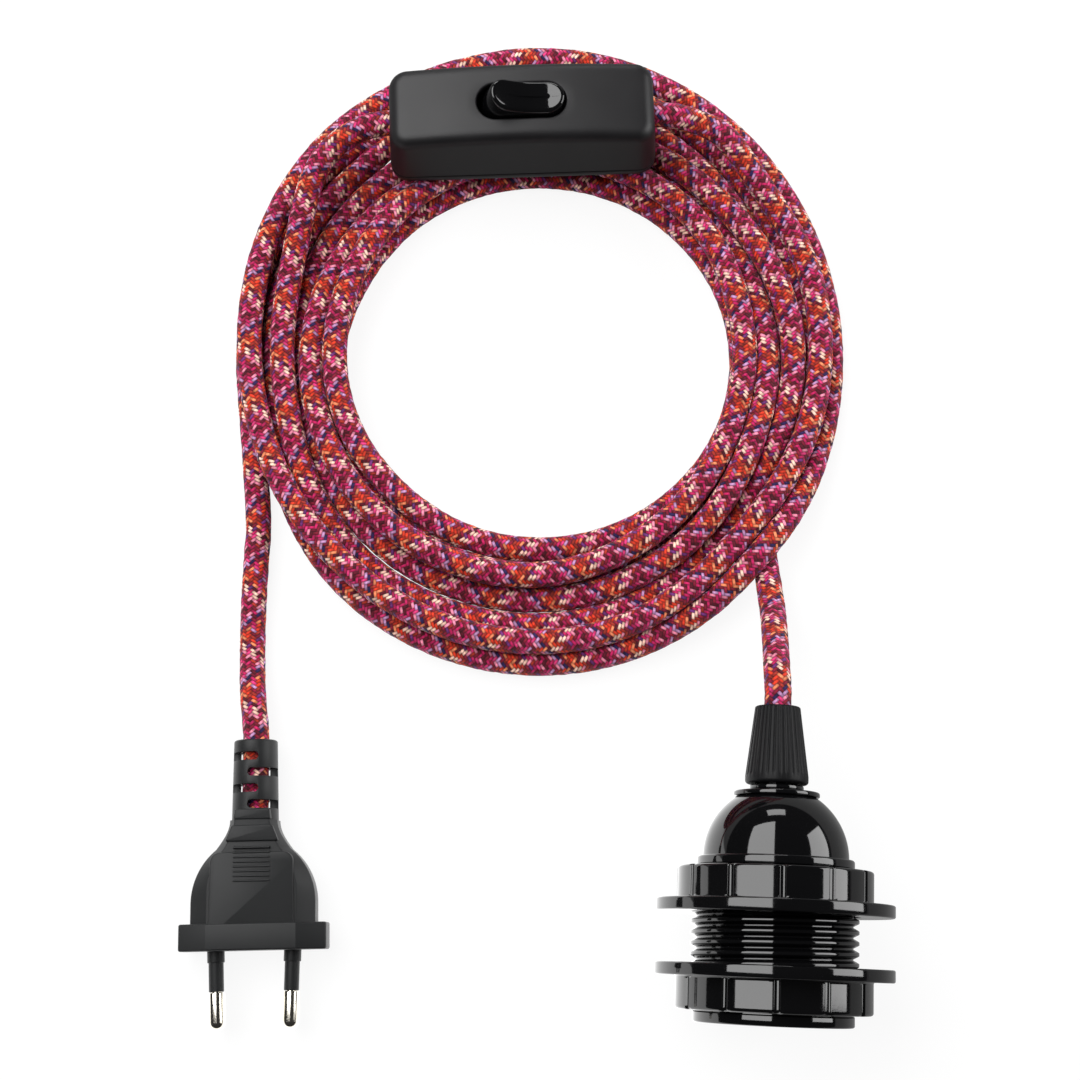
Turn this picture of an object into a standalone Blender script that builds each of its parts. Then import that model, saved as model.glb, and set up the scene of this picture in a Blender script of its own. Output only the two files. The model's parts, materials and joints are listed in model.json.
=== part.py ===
"""Pendant lamp cord set, laid flat: a threaded lamp holder with two shade rings, a braided cord wound in a
coil, a rocker switch on the cord and a moulded two-pin plug.

Metres, +Z up. +Y runs along the lamp holder from its mouth to its cord grip. The origin is on the table under
the middle of the lamp holder, which lies on its two shade rings.
"""

import math

import bmesh
import bpy
from mathutils import Matrix, Vector

for leftover in list(bpy.data.objects):
    bpy.data.objects.remove(leftover, do_unlink=True)

# Clearance between pieces that seat, slide or turn on each other, and the distance at which points are welded
FIT = 0.0003
WELD = 1e-6

# Cord, the height of its middle where it lies on the table, and the holes that it runs through
CORD_D = 0.0067
CORD_REST_H = CORD_D / 2 + FIT / 2
CORD_SIDES_RESOLUTION = 3
CORD_BORE_D = CORD_D + 2.4 * FIT

# Threaded skirt of the lamp holder, whose mouth is at height 0 on the holder's axis
SKIRT_H = 0.0361
SKIRT_SIDES = 32
THREAD_D = 0.0398
THREAD_PITCH = 0.0025
THREAD_DEPTH = 0.0014
MOUTH_RIM_D = 0.0379
MOUTH_RIM_H = 0.0026
SKIRT_BORE_D = 0.0312
SKIRT_SHOULDER_T = 0.0035
NECK_BORE_D = 0.0248
NECK_WALL = 0.0016
NECK_D = NECK_BORE_D + 2 * NECK_WALL
NECK_H = 0.0069

# Shade rings
RING_D = 0.0566
RING_SIDES = 48
RING_FLANGE_T = 0.0030
RING_COLLAR_D = 0.0465
RING_COLLAR_H = 0.0077
RING_CHAMFER = 0.0004
RING_GROOVES = 12
GROOVE_W = 0.0013
GROOVE_DEPTH = 0.0006
UPPER_RING_TURN = math.radians(5)
LOWER_RING_TURN = math.radians(3)
LOWER_RING_SETBACK = 0.0029

# Domed cap
CAP_SIDES = 36
CAP_WALL = 0.0022
DOME_OVER_NECK = 0.0009
DOME_R = NECK_D / 2 + FIT + CAP_WALL + DOME_OVER_NECK
DOME_H = 0.0146
DOME_STEPS = 6
CAP_LEDGE = 0.00135
CAP_FLANGE_D = 2 * (DOME_R + CAP_LEDGE)
CAP_FLANGE_T = 0.0022
CEILING_H = 0.0124
LIP_D = 0.0207
LIP_T = 0.0012

# Cord grip, with its threaded nipple and lock nut
NIPPLE_D = 0.0100
NIPPLE_COLLAR_D = 0.0130
NIPPLE_COLLAR_T = 0.0012
NIPPLE_REACH = 0.0065
NUT_ACROSS_FLATS = 0.0140
NUT_T = 0.0030
GRIP_H = 0.0188
GRIP_FOOT_D = 0.0152
GRIP_TOP_D = 0.0109
GRIP_RIBS = 30
GRIP_RIB_DEPTH = 0.0003
GRIP_FOOT_ROUND = 0.0009

# Insulating core with its terminals and contacts
CORE_D = NECK_BORE_D - 2 * FIT
CORE_OVERHANG = 0.0011
CORE_FLANGE_D = CORE_D + 2 * CORE_OVERHANG
CORE_FLANGE_T = 0.0020
CORE_DROP = 0.0120
SHELL_D = 0.0272
SHELL_WALL = 0.0004
SHELL_SETBACK = 0.0070
SHELL_LIP = 0.0006
SHELL_FLOOR_HOLE_D = 0.0128
TERMINAL_SIZE = Vector((0.0044, 0.0064, 0.0050))
TERMINAL_PLACES = {"live_terminal": -0.0042, "neutral_terminal": 0.0080}
POCKET_DEPTH = 0.0072
RIVET_D = 0.0020
SCREW_D = 0.0026
SCREW_HEAD_D = 0.0040
SCREW_HEAD_T = 0.0014
SCREW_SIDES = 12
TONGUE_W = 0.0046
TONGUE_T = 0.0004
TONGUE_RISE = 0.0058
TONGUE_TAIL = 0.0054
TONGUE_BEND = 0.0026
TONGUE_FOOT = 0.0014
TONGUE_NOSE = 0.0022

# Moulded plug, measured from its front face towards the cord
PLUG_FRONT = Vector((-0.1259, -0.0254, 0.0069))
PLUG_LEAN = math.radians(3.6)
PLUG_T = 2 * PLUG_FRONT.z
PLUG_FLANGE_W = 0.0364
PLUG_FLANGE_T = 0.0066
PLUG_FLANGE_EDGE_T = 0.0086
PLUG_FACET_W = 0.0220
PLUG_FACET_SHARE = 0.74
PLUG_BODY_W = 0.0322
PLUG_BODY_T = 0.0124
PLUG_THIN_FROM = 0.0225
PLUG_EDGE_T = 0.0072
PLUG_EDGE_END_T = 0.0060
PLUG_ROUND_FROM = 0.0115
PLUG_ROUND_LENGTH = 0.0164
PLUG_WAIST = 0.0246
PLUG_SHOULDER = 0.0318
PLUG_NECK_ROOT = 0.0278
PLUG_BORE_FROM = 0.0298
PLUG_NECK_END = 0.0519
PLUG_NECK_D = 0.0118
PLUG_NECK_TOP_D = 0.0109
PLUG_SLOTS = 4
PLUG_SLOT_W = 0.0021
PLUG_SLOT_PITCH = 0.0040
PLUG_SLOT_FROM_END = 0.0042
PLUG_SLOT_PAST_CENTRE = 0.0014
PLUG_RIBS = 8
PLUG_RIBS_FROM = 0.0165
PLUG_RIB_PITCH = 0.00115
PLUG_RIB_W = 0.0090
PLUG_RIB_H = 0.0003
PIN_D = 0.0040
PIN_LENGTH = 0.0190
PIN_ROOT = 0.0050
PIN_SPACING = 0.0190
PIN_TOE_IN = math.radians(1.7)
PIN_SIDES = 18
SLEEVE_D = 0.0037
SLEEVE_LENGTH = 0.0098
SLEEVE_ROOT = 0.0020
SHANK_D = 0.0026

# In-line switch, measured from the middle of its underside
COIL_H = 2 * CORD_D + FIT
SWITCH_PLACE = Vector((-0.0688, 0.1909, COIL_H + FIT))
SWITCH_TURN = math.radians(4.3)
SWITCH_LENGTH = 0.0700
SWITCH_W = 0.0240
SWITCH_H = 0.0190
SWITCH_ARCH = 0.0024
SWITCH_CORNER_R = 0.0048
SWITCH_EDGE_R = 0.0026
SWITCH_WALL = 0.0016
BASE_H = 0.0028
BASE_FLOOR_T = 0.0016
BASE_CHAMFER = 0.0006
CORD_ENTRY_H = 0.0081
ROCKER_HOLE_LENGTH = 0.0226
ROCKER_HOLE_W = 0.0112
ROCKER_LENGTH = 0.0206
ROCKER_TOP_LENGTH = 0.0165
ROCKER_W = ROCKER_HOLE_W - 2 * FIT
ROCKER_TOP_W = 0.0096
ROCKER_EDGE_R = 0.0007
ROCKER_SIDE_DROP = 0.0010
ROCKER_FOOT_INSET = 0.0015
ROCKER_RISE = 0.0034
ROCKER_SKIRT = 0.0036
ROCKER_DISH = 0.0012
ROCKER_TILT = math.radians(12)
PIVOT_D = 0.0024
PIVOT_LENGTH = 0.0144
PIVOT_DROP = 0.0034
STEM_D = 0.0052
STEM_LENGTH = 0.0062
SPRING_D = 0.0028
SPRING_WIRE_D = 0.0004
SPRING_WIRE_SIDES = 5
SPRING_TURNS = 4
SPRING_H = 0.0028
PLUNGER_REACH = 0.0012
ARM_LENGTH = 0.0160
ARM_W = 0.0034
ARM_T = 0.0006
ARM_TILT = ROCKER_TILT / 2
PIVOT_CONTACT_T = 0.0020
FIXED_CONTACT_T = 0.0024
LUG_T = 0.0016
CLAMP_FROM_END = 0.0130
CLAMP_SIZE = Vector((0.0050, 0.0130, 0.0018))

# Coil of cord: an oval ring of turns, two layers deep
COIL_CENTRE = Vector((-0.0618, 0.1333, 0.0))
COIL_TURN = math.radians(2.3)
COIL_OUTER = Vector((0.0809, 0.0873))
COIL_INNER = Vector((0.0507, 0.0487))
COIL_INNER_SHIFT = -0.0022
COIL_EDGE_R = 0.0030
COIL_SIDES = 48


def material(name, colour, roughness, metallic=0.0):
    """A plain finish for one object."""
    finish = bpy.data.materials.new(name)
    finish.use_nodes = True
    shader = finish.node_tree.nodes["Principled BSDF"]
    shader.inputs["Base Color"].default_value = (*colour, 1.0)
    shader.inputs["Roughness"].default_value = roughness
    shader.inputs["Metallic"].default_value = metallic
    return finish


def gloss_black(name):
    return material(name, (0.012, 0.011, 0.012), 0.08)


def matte_black(name):
    return material(name, (0.030, 0.030, 0.032), 0.55)


def nickel(name):
    return material(name, (0.66, 0.64, 0.60), 0.22, 1.0)


def brass(name):
    return material(name, (0.72, 0.55, 0.27), 0.30, 1.0)


def cloth(name):
    return material(name, (0.42, 0.04, 0.13), 0.85)


def frame(name, location, rotation=(0.0, 0.0, 0.0)):
    """An empty that carries the pieces of one unit."""
    empty = bpy.data.objects.new(name, None)
    bpy.context.collection.objects.link(empty)
    empty.location = location
    empty.rotation_euler = rotation
    return empty


def add(name, bm, finish, parent=None, location=(0.0, 0.0, 0.0), rotation=(0.0, 0.0, 0.0)):
    """Weld a mesh, point its faces outwards and link it as an object of its own."""
    bmesh.ops.remove_doubles(bm, verts=bm.verts, dist=WELD)
    bmesh.ops.recalc_face_normals(bm, faces=bm.faces)
    mesh = bpy.data.meshes.new(name)
    bm.to_mesh(mesh)
    bm.free()
    mesh.shade_smooth()
    mesh.set_sharp_from_angle(angle=math.radians(32))
    made = bpy.data.objects.new(name, mesh)
    bpy.context.collection.objects.link(made)
    if finish:
        mesh.materials.append(finish(name + "_finish"))
    made.parent = parent
    made.location = location
    made.rotation_euler = rotation
    return made


def shape_with(target, bm, operation="DIFFERENCE", turn=0.0):
    """Cut a hidden shape from a piece, or weld it on; the shape is turned about the piece's own Z."""
    tool = add(f"{target.name}_{operation.lower()}_{len(target.modifiers)}", bm, None, target.parent)
    tool.matrix_basis = target.matrix_basis @ Matrix.Rotation(turn, 4, "Z")
    tool.hide_render = True
    tool.display_type = "WIRE"
    step = target.modifiers.new(tool.name, "BOOLEAN")
    step.operation = operation
    step.solver = "EXACT"
    step.object = tool


def turned(outline, sides):
    """Spin an outline of (radius, height) points round Z; one that starts on the axis ends on it too."""
    bm = bmesh.new()
    verts = [bm.verts.new((radius, 0.0, height)) for radius, height in outline]
    edges = [bm.edges.new(pair) for pair in zip(verts, verts[1:])]
    if outline[0][0] > 0.0:
        edges.append(bm.edges.new((verts[-1], verts[0])))
    axis = (0.0, 0.0, 1.0)
    bmesh.ops.spin(bm, geom=verts + edges, axis=axis, cent=(0.0, 0.0, 0.0), angle=math.tau, steps=sides)
    return bm


def skinned(rings, ends="capped"):
    """Join rings of points into a skin whose ends are capped, joined to each other, or left to the weld."""
    bm = bmesh.new()
    rows = [[bm.verts.new(point) for point in ring] for ring in rings]
    pairs = list(zip(rows, rows[1:]))
    if ends == "joined":
        pairs.append((rows[-1], rows[0]))
    for low, high in pairs:
        bridge(bm, low, high)
    if ends == "capped":
        bm.faces.new(rows[0])
        bm.faces.new(rows[-1])
    return bm


def bridge(bm, low, high):
    """A belt of quads between two rings with the same number of points."""
    count = len(low)
    for i in range(count):
        j = (i + 1) % count
        bm.faces.new((low[i], low[j], high[j], high[i]))


def circle(radius, height, sides):
    return [
        Vector((radius * math.cos(math.tau * i / sides), radius * math.sin(math.tau * i / sides), height))
        for i in range(sides)
    ]


def cylinder(diameter, low, high, sides, centre=(0.0, 0.0)):
    """An upright cylinder between two heights."""
    shift = Vector((centre[0], centre[1], 0.0))
    return skinned([[p + shift for p in circle(diameter / 2, height, sides)] for height in (low, high)])


def block(low, high):
    """A box between two corners."""
    bm = bmesh.new()
    middle = Matrix.Translation((Vector(low) + Vector(high)) / 2)
    size = Matrix.Diagonal((*(Vector(high) - Vector(low)), 1.0))
    bmesh.ops.create_cube(bm, size=1.0, matrix=middle @ size)
    return bm


def prism(outline, axis, low, high):
    """Extrude a flat outline along X, Y or Z; its points fill the other two axes in turn."""
    def point(pair, along):
        spot = list(pair)
        spot.insert("XYZ".index(axis), along)
        return Vector(spot)

    return skinned([[point(pair, along) for pair in outline] for along in (low, high)])


def gathered(*shapes):
    """Put several separate shapes in one mesh."""
    whole = bmesh.new()
    for shape in shapes:
        mesh = bpy.data.meshes.new("part_of_group")
        bmesh.ops.recalc_face_normals(shape, faces=shape.faces)
        shape.to_mesh(mesh)
        shape.free()
        whole.from_mesh(mesh)
        bpy.data.meshes.remove(mesh)
    return whole


def moved(bm, matrix):
    bmesh.ops.transform(bm, matrix=matrix, verts=bm.verts)
    return bm


def arc(centre, radius, start, end, steps):
    """Points of a circular arc, with angles in radians."""
    angles = [start + (end - start) * i / steps for i in range(steps + 1)]
    return [(centre[0] + radius * math.cos(a), centre[1] + radius * math.sin(a)) for a in angles]


# Lamp holder: heights along its axis, from the mouth up
CAP_BOTTOM = SKIRT_H + FIT
DOME_BASE = CAP_BOTTOM + CAP_FLANGE_T
CAP_TOP = DOME_BASE + DOME_H + LIP_T
CEILING = DOME_BASE + CEILING_H
COLLAR_BOTTOM = CAP_TOP + FIT
GRIP_BOTTOM = COLLAR_BOTTOM + NIPPLE_COLLAR_T + FIT
HOLDER_LENGTH = GRIP_BOTTOM + GRIP_H
NECK_TOP = SKIRT_H + NECK_H
CORE_FLANGE_BOTTOM = NECK_TOP + FIT
CORE_TOP = CORE_FLANGE_BOTTOM + CORE_FLANGE_T
CORE_BOTTOM = CORE_FLANGE_BOTTOM - CORE_DROP

holder_frame = frame("lamp_holder_axis", (0.0, -HOLDER_LENGTH / 2, RING_D / 2), (-math.pi / 2, 0.0, 0.0))


def thread_sheet(bm, start, turns, root_r, crest_r, sides):
    """A helical thread that fades in and out over one turn; gives its two flat end rings."""
    profile = ((0.0, 0.0), (0.38, 1.0), (0.62, 1.0))
    count = len(profile)
    grid = {}

    def vertex(step, k):
        if k == count:
            return vertex(step + sides, 0)
        if (step, k) not in grid:
            share, height = profile[k]
            along = step / sides + share
            fade = min(1.0, along, max(0.0, turns + 1 - along))
            radius = root_r + (crest_r - root_r) * height * fade
            angle = math.tau * step / sides
            z = start + THREAD_PITCH * along
            grid[step, k] = bm.verts.new((radius * math.cos(angle), radius * math.sin(angle), z))
        return grid[step, k]

    for step in range(turns * sides):
        for k in range(count):
            corners = (vertex(step, k), vertex(step + 1, k), vertex(step + 1, k + 1), vertex(step, k + 1))
            bm.faces.new(corners)
    foot = [vertex(0, 0)] + [bm.verts.new(p) for p in circle(root_r, start, sides)[1:]]
    for step in range(1, sides - 1):
        bm.faces.new((foot[step], foot[step + 1], vertex(step + 1, 0), vertex(step, 0)))
    bm.faces.new((foot[0], foot[1], vertex(1, 0)))
    bm.faces.new([foot[-1], foot[0]] + [vertex(0, k) for k in range(1, count + 1)] + [vertex(sides - 1, 0)])
    last = turns * sides
    top = start + THREAD_PITCH * (turns + 1)
    head = [vertex(last + sides, 0)] + [bm.verts.new(p) for p in circle(root_r, top, sides)[1:]]
    for step in range(1, sides - 1):
        bm.faces.new((vertex(last + step, 0), vertex(last + step + 1, 0), head[step + 1], head[step]))
    bm.faces.new([vertex(last, k) for k in range(count)] + [head[0], head[1], vertex(last + 1, 0)])
    bm.faces.new((vertex(last + sides - 1, 0), head[0], head[-1]))
    return foot, head


def threaded_skirt():
    """The moulded skirt: outer thread for the shade rings, and a neck that screws up into the cap."""
    root_r = THREAD_D / 2 - THREAD_DEPTH
    thread_start = MOUTH_RIM_H + THREAD_PITCH / 4
    turns = int((SKIRT_H - thread_start) / THREAD_PITCH) - 1
    bm = bmesh.new()
    foot, head = thread_sheet(bm, thread_start, turns, root_r, THREAD_D / 2, SKIRT_SIDES)
    levels = (
        (root_r, SKIRT_H),
        (NECK_D / 2, SKIRT_H),
        (NECK_D / 2, NECK_TOP),
        (NECK_BORE_D / 2, NECK_TOP),
        (NECK_BORE_D / 2, SKIRT_H - SKIRT_SHOULDER_T),
        (SKIRT_BORE_D / 2, SKIRT_H - SKIRT_SHOULDER_T),
        (SKIRT_BORE_D / 2, 0.0),
        (MOUTH_RIM_D / 2, 0.0),
        (MOUTH_RIM_D / 2, MOUTH_RIM_H),
        (root_r, MOUTH_RIM_H),
    )
    rows = [head] + [[bm.verts.new(p) for p in circle(r, z, SKIRT_SIDES)] for r, z in levels] + [foot]
    for low, high in zip(rows, rows[1:]):
        bridge(bm, low, high)
    return bm


def shade_ring(flange_low, grooves_turn, name):
    """A ring nut with a wide flange and a grooved collar; the flange is at the end that faces the shade."""
    bore = THREAD_D / 2 + FIT
    flange, collar = RING_D / 2, RING_COLLAR_D / 2
    height = RING_FLANGE_T + RING_COLLAR_H
    outline = [
        (bore, 0.0),
        (flange - RING_CHAMFER, 0.0),
        (flange, RING_CHAMFER),
        (flange, RING_FLANGE_T - RING_CHAMFER),
        (flange - RING_CHAMFER, RING_FLANGE_T),
        (collar, RING_FLANGE_T),
        (collar, height - 2 * RING_CHAMFER),
        (collar - 2 * RING_CHAMFER, height),
        (bore, height),
    ]
    if flange_low:
        base = SKIRT_H - height
        made = add(name, turned(outline, RING_SIDES), gloss_black, holder_frame, (0.0, 0.0, base))
    else:
        top = LOWER_RING_SETBACK + height
        flipped = (math.pi, 0.0, 0.0)
        made = add(name, turned(outline, RING_SIDES), gloss_black, holder_frame, (0.0, 0.0, top), flipped)
    cutters = []
    for i in range(RING_GROOVES):
        low = (collar - GROOVE_DEPTH, -GROOVE_W / 2, RING_FLANGE_T + FIT)
        high = (collar + GROOVE_DEPTH, GROOVE_W / 2, height + FIT)
        around = Matrix.Rotation(math.tau * i / RING_GROOVES, 4, "Z")
        cutters.append(moved(block(low, high), around))
    shape_with(made, gathered(*cutters), turn=grooves_turn)
    return made


def holder_cap():
    """The domed cap: a hollow moulding with a base flange, a lip at the top and a hole for the nipple."""
    inner_r = DOME_R - CAP_WALL
    neck_room = NECK_D / 2 + FIT
    inner_start = math.acos(neck_room / inner_r)
    inner_end = math.asin(CEILING_H / inner_r)
    inner = arc((0.0, DOME_BASE), inner_r, inner_end, inner_start, DOME_STEPS)
    outer = arc((0.0, DOME_BASE), DOME_R, 0.0, math.asin(DOME_H / DOME_R), DOME_STEPS)
    hole = NIPPLE_D / 2 + FIT
    ease = CAP_FLANGE_T / 4
    outline = [
        (hole, CEILING),
        *inner,
        (neck_room, CAP_BOTTOM),
        (CAP_FLANGE_D / 2, CAP_BOTTOM),
        (CAP_FLANGE_D / 2, DOME_BASE - ease),
        (CAP_FLANGE_D / 2 - ease, DOME_BASE),
        *outer,
        (LIP_D / 2 - LIP_T / 4, DOME_BASE + DOME_H),
        (LIP_D / 2, DOME_BASE + DOME_H + LIP_T / 3),
        (LIP_D / 2, CAP_TOP - LIP_T / 3),
        (LIP_D / 2 - LIP_T / 3, CAP_TOP),
        (hole, CAP_TOP),
    ]
    return turned(outline, CAP_SIDES)


def nipple():
    """The threaded tube that holds the cord grip on the cap, with its collar."""
    bore, tube = CORD_BORE_D / 2, NIPPLE_D / 2
    low = CEILING - FIT - NUT_T - THREAD_PITCH / 2
    collar_top = COLLAR_BOTTOM + NIPPLE_COLLAR_T
    outline = [
        (bore, low),
        (tube, low),
        (tube, COLLAR_BOTTOM),
        (NIPPLE_COLLAR_D / 2, COLLAR_BOTTOM),
        (NIPPLE_COLLAR_D / 2, collar_top),
        (tube, collar_top),
        (tube, collar_top + NIPPLE_REACH),
        (bore, collar_top + NIPPLE_REACH),
    ]
    return turned(outline, 24)


def lock_nut():
    """The hexagon nut under the cap's ceiling."""
    top = CEILING - FIT
    across = NUT_ACROSS_FLATS / math.sqrt(3)
    hole = [p.xy for p in circle(NIPPLE_D / 2 + FIT, 0.0, 24)]
    hexagon = [Vector(flat_side_point(i / 24, across)) for i in range(24)]
    rings = [
        [Vector((p.x, p.y, z)) for p in outline]
        for outline, z in ((hole, top - NUT_T), (hexagon, top - NUT_T), (hexagon, top), (hole, top))
    ]
    return skinned(rings, "joined")


def flat_side_point(share, corner_r):
    """A point on a hexagon's outline, at a share of a full turn."""
    angle = math.tau * share
    from_middle = (angle % (math.pi / 3)) - math.pi / 6
    radius = corner_r * math.cos(math.pi / 6) / math.cos(from_middle)
    return radius * math.cos(angle), radius * math.sin(angle)


def cord_grip():
    """The ribbed cone that clamps the cord: fine ribs outside, a socket for the nipple and a cord bore."""
    sides = 2 * GRIP_RIBS
    top = GRIP_BOTTOM + GRIP_H

    def ribbed(radius, height, depth):
        ring = circle(radius, height, sides)
        inward = 1.0 - depth / radius
        return [Vector((p.x * inward, p.y * inward, p.z)) if i % 2 else p for i, p in enumerate(ring)]

    foot, tip = GRIP_FOOT_D / 2, GRIP_TOP_D / 2
    socket_top = COLLAR_BOTTOM + NIPPLE_COLLAR_T + NIPPLE_REACH + FIT
    rings = [
        circle(CORD_BORE_D / 2, top, sides),
        circle(tip - GRIP_RIB_DEPTH, top, sides),
        ribbed(tip, top - GRIP_RIB_DEPTH, GRIP_RIB_DEPTH),
        ribbed(foot, GRIP_BOTTOM + GRIP_FOOT_ROUND * 2, GRIP_RIB_DEPTH),
        circle(foot, GRIP_BOTTOM + GRIP_FOOT_ROUND, sides),
        circle(foot - GRIP_FOOT_ROUND, GRIP_BOTTOM, sides),
        circle(NIPPLE_D / 2 + FIT, GRIP_BOTTOM, sides),
        circle(NIPPLE_D / 2 + FIT, socket_top, sides),
        circle(CORD_BORE_D / 2, socket_top, sides),
    ]
    return skinned(rings, "joined")


def holder_core():
    """The insulating core, which hangs by its flange on the skirt's neck."""
    outline = [
        (0.0, CORE_BOTTOM),
        (CORE_D / 2, CORE_BOTTOM),
        (CORE_D / 2, CORE_FLANGE_BOTTOM),
        (CORE_FLANGE_D / 2, CORE_FLANGE_BOTTOM),
        (CORE_FLANGE_D / 2, CORE_TOP),
        (0.0, CORE_TOP),
    ]
    return turned(outline, SKIRT_SIDES)


def screw_shell():
    """The thin metal socket, with a floor that rests under the core and a rolled lip at its mouth."""
    floor = CORE_BOTTOM - FIT
    outer = SHELL_D / 2
    outline = [
        (SHELL_FLOOR_HOLE_D / 2, floor),
        (outer, floor),
        (outer, SHELL_SETBACK + SHELL_LIP),
        (outer + SHELL_LIP, SHELL_SETBACK),
        (outer + SHELL_LIP - SHELL_WALL, SHELL_SETBACK),
        (outer - SHELL_WALL, SHELL_SETBACK + SHELL_LIP),
        (outer - SHELL_WALL, floor - SHELL_WALL),
        (SHELL_FLOOR_HOLE_D / 2, floor - SHELL_WALL),
    ]
    return turned(outline, SKIRT_SIDES)


def strip_outline(points, thickness):
    """The outline of a bent strip of even thickness, from the line of its upper face."""
    line = [Vector(point) for point in points]
    runs = [(b - a).normalized() for a, b in zip(line, line[1:])]
    sides = [Vector((run.y, -run.x)) for run in runs]
    lower = []
    for point, before, after in zip(line, sides[:1] + sides, sides + sides[-1:]):
        lower.append(point + (before + after) / (1.0 + before.dot(after)) * thickness)
    return line + lower[::-1]


def contact_tongue():
    """The sprung strip that meets the lamp's tip: flat under the core, then bent down to a flat nose."""
    top = CORE_BOTTOM - FIT
    nose = top - TONGUE_RISE
    line = [(-TONGUE_TAIL, top), (-TONGUE_BEND, top), (-TONGUE_FOOT, nose), (TONGUE_NOSE, nose)]
    return prism(strip_outline(line, TONGUE_T), "Y", -TONGUE_W / 2, TONGUE_W / 2)


def screw(head_top, length, centre=(0.0, 0.0)):
    """A plain cheese-head screw, standing head up."""
    head, shank = SCREW_HEAD_D / 2, SCREW_D / 2
    under = head_top - SCREW_HEAD_T
    outline = [(0.0, under - length), (shank, under - length), (shank, under), (head, under)]
    outline += [(head, head_top), (0.0, head_top)]
    return moved(turned(outline, SCREW_SIDES), Matrix.Translation((*centre, 0.0)))


def build_lamp_holder():
    add("threaded_skirt", threaded_skirt(), gloss_black, holder_frame)
    shade_ring(True, UPPER_RING_TURN, "upper_shade_ring")
    shade_ring(False, LOWER_RING_TURN, "lower_shade_ring")
    add("holder_cap", holder_cap(), gloss_black, holder_frame)
    add("grip_nipple", nipple(), gloss_black, holder_frame)
    add("grip_nut", lock_nut(), nickel, holder_frame)
    add("cord_grip", cord_grip(), matte_black, holder_frame)
    core = add("holder_core", holder_core(), gloss_black, holder_frame)
    add("screw_shell", screw_shell(), nickel, holder_frame)
    add("contact_tongue", contact_tongue(), brass, holder_frame)

    half = TERMINAL_SIZE / 2
    pocket_low = CORE_TOP - POCKET_DEPTH
    room = Vector((half.x + FIT, half.y + FIT))
    pockets = []
    for name, x in TERMINAL_PLACES.items():
        low = pocket_low + FIT
        top = low + TERMINAL_SIZE.z
        pockets.append(block((x - room.x, -room.y, pocket_low), (x + room.x, room.y, CORE_TOP + FIT)))
        pockets.append(cylinder(RIVET_D + 2 * FIT, CORE_BOTTOM - FIT, pocket_low + FIT, 12, (x, 0.0)))
        bar = add(name, block((x - half.x, -half.y, low), (x + half.x, half.y, top)), brass, holder_frame)
        spot = (x, half.y - SCREW_HEAD_D / 2)
        shape_with(bar, cylinder(SCREW_D + 2 * FIT, low + half.z / 2, top + FIT, 16, spot))
        fastener = screw(top + FIT + SCREW_HEAD_T, half.z, spot)
        add(name + "_screw", fastener, nickel, holder_frame)
        rivet = cylinder(RIVET_D, CORE_BOTTOM, pocket_low, 12, (x, 0.0))
        add(name + "_rivet", rivet, brass, holder_frame)
    shape_with(core, gathered(*pockets))


# Plug: its own frame has Y along the pins and cord, and Z through its thickness
plug_frame = frame("plug_axis", PLUG_FRONT, (0.0, 0.0, PLUG_LEAN))


def eased(low, high, share):
    """Blend two values with a level start and end."""
    share = min(1.0, max(0.0, share))
    return low + (high - low) * share * share * (3.0 - 2.0 * share)


def plug_half_width(y):
    """The body's half width: full behind the flange, round at the shoulders, then drawn in to the neck."""

    def shoulder(at):
        share = max(0.0, (at - PLUG_ROUND_FROM) / PLUG_ROUND_LENGTH)
        return PLUG_BODY_W / 2 * math.sqrt(1.0 - share * share)

    if y <= PLUG_WAIST:
        return shoulder(y)
    neck = PLUG_NECK_D / 2
    share = (y - PLUG_WAIST) / (PLUG_SHOULDER - PLUG_WAIST)
    return neck + (shoulder(PLUG_WAIST) - neck) * (1.0 - math.sin(share * math.pi / 2))


def plug_section(y, half_width, half_thick, half_facet, half_edge):
    """An eight-cornered section: a flat facet above and below, and a narrow edge at each side."""
    right = [(half_facet, half_thick), (half_width, half_edge), (half_width, -half_edge)]
    right += [(half_facet, -half_thick)]
    return [Vector((x, y, z)) for x, z in right] + [Vector((-x, y, z)) for x, z in right[::-1]]


def plug_body():
    """The moulding behind the flange, lofted from the flange up to the neck."""
    rings = []
    steps = 12
    start = PLUG_FLANGE_T / 2
    for i in range(steps + 1):
        y = start + (PLUG_SHOULDER - start) * i / steps
        width = plug_half_width(y)
        thinned = (y - PLUG_THIN_FROM) / (PLUG_SHOULDER - PLUG_THIN_FROM)
        thick = eased(PLUG_BODY_T / 2, PLUG_NECK_D / 2, thinned)
        facet = min(PLUG_FACET_W / 2, PLUG_FACET_SHARE * width)
        edge = eased(PLUG_EDGE_T / 2, PLUG_EDGE_END_T / 2, y / PLUG_SHOULDER)
        rings.append(plug_section(y, width, thick, facet, edge))
    return skinned(rings)


def plug_flange():
    """The wide flange at the plug's front."""
    size = (PLUG_FLANGE_W / 2, PLUG_T / 2, PLUG_FACET_W / 2, PLUG_FLANGE_EDGE_T / 2)
    return skinned([plug_section(y, *size) for y in (0.0, PLUG_FLANGE_T)])


def plug_neck():
    """The round strain relief, tapering towards the cord."""
    ends = ((PLUG_NECK_D / 2, PLUG_NECK_ROOT), (PLUG_NECK_TOP_D / 2, PLUG_NECK_END))
    return moved(skinned([circle(r, z, 28) for r, z in ends]), Matrix.Rotation(-math.pi / 2, 4, "X"))


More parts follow.
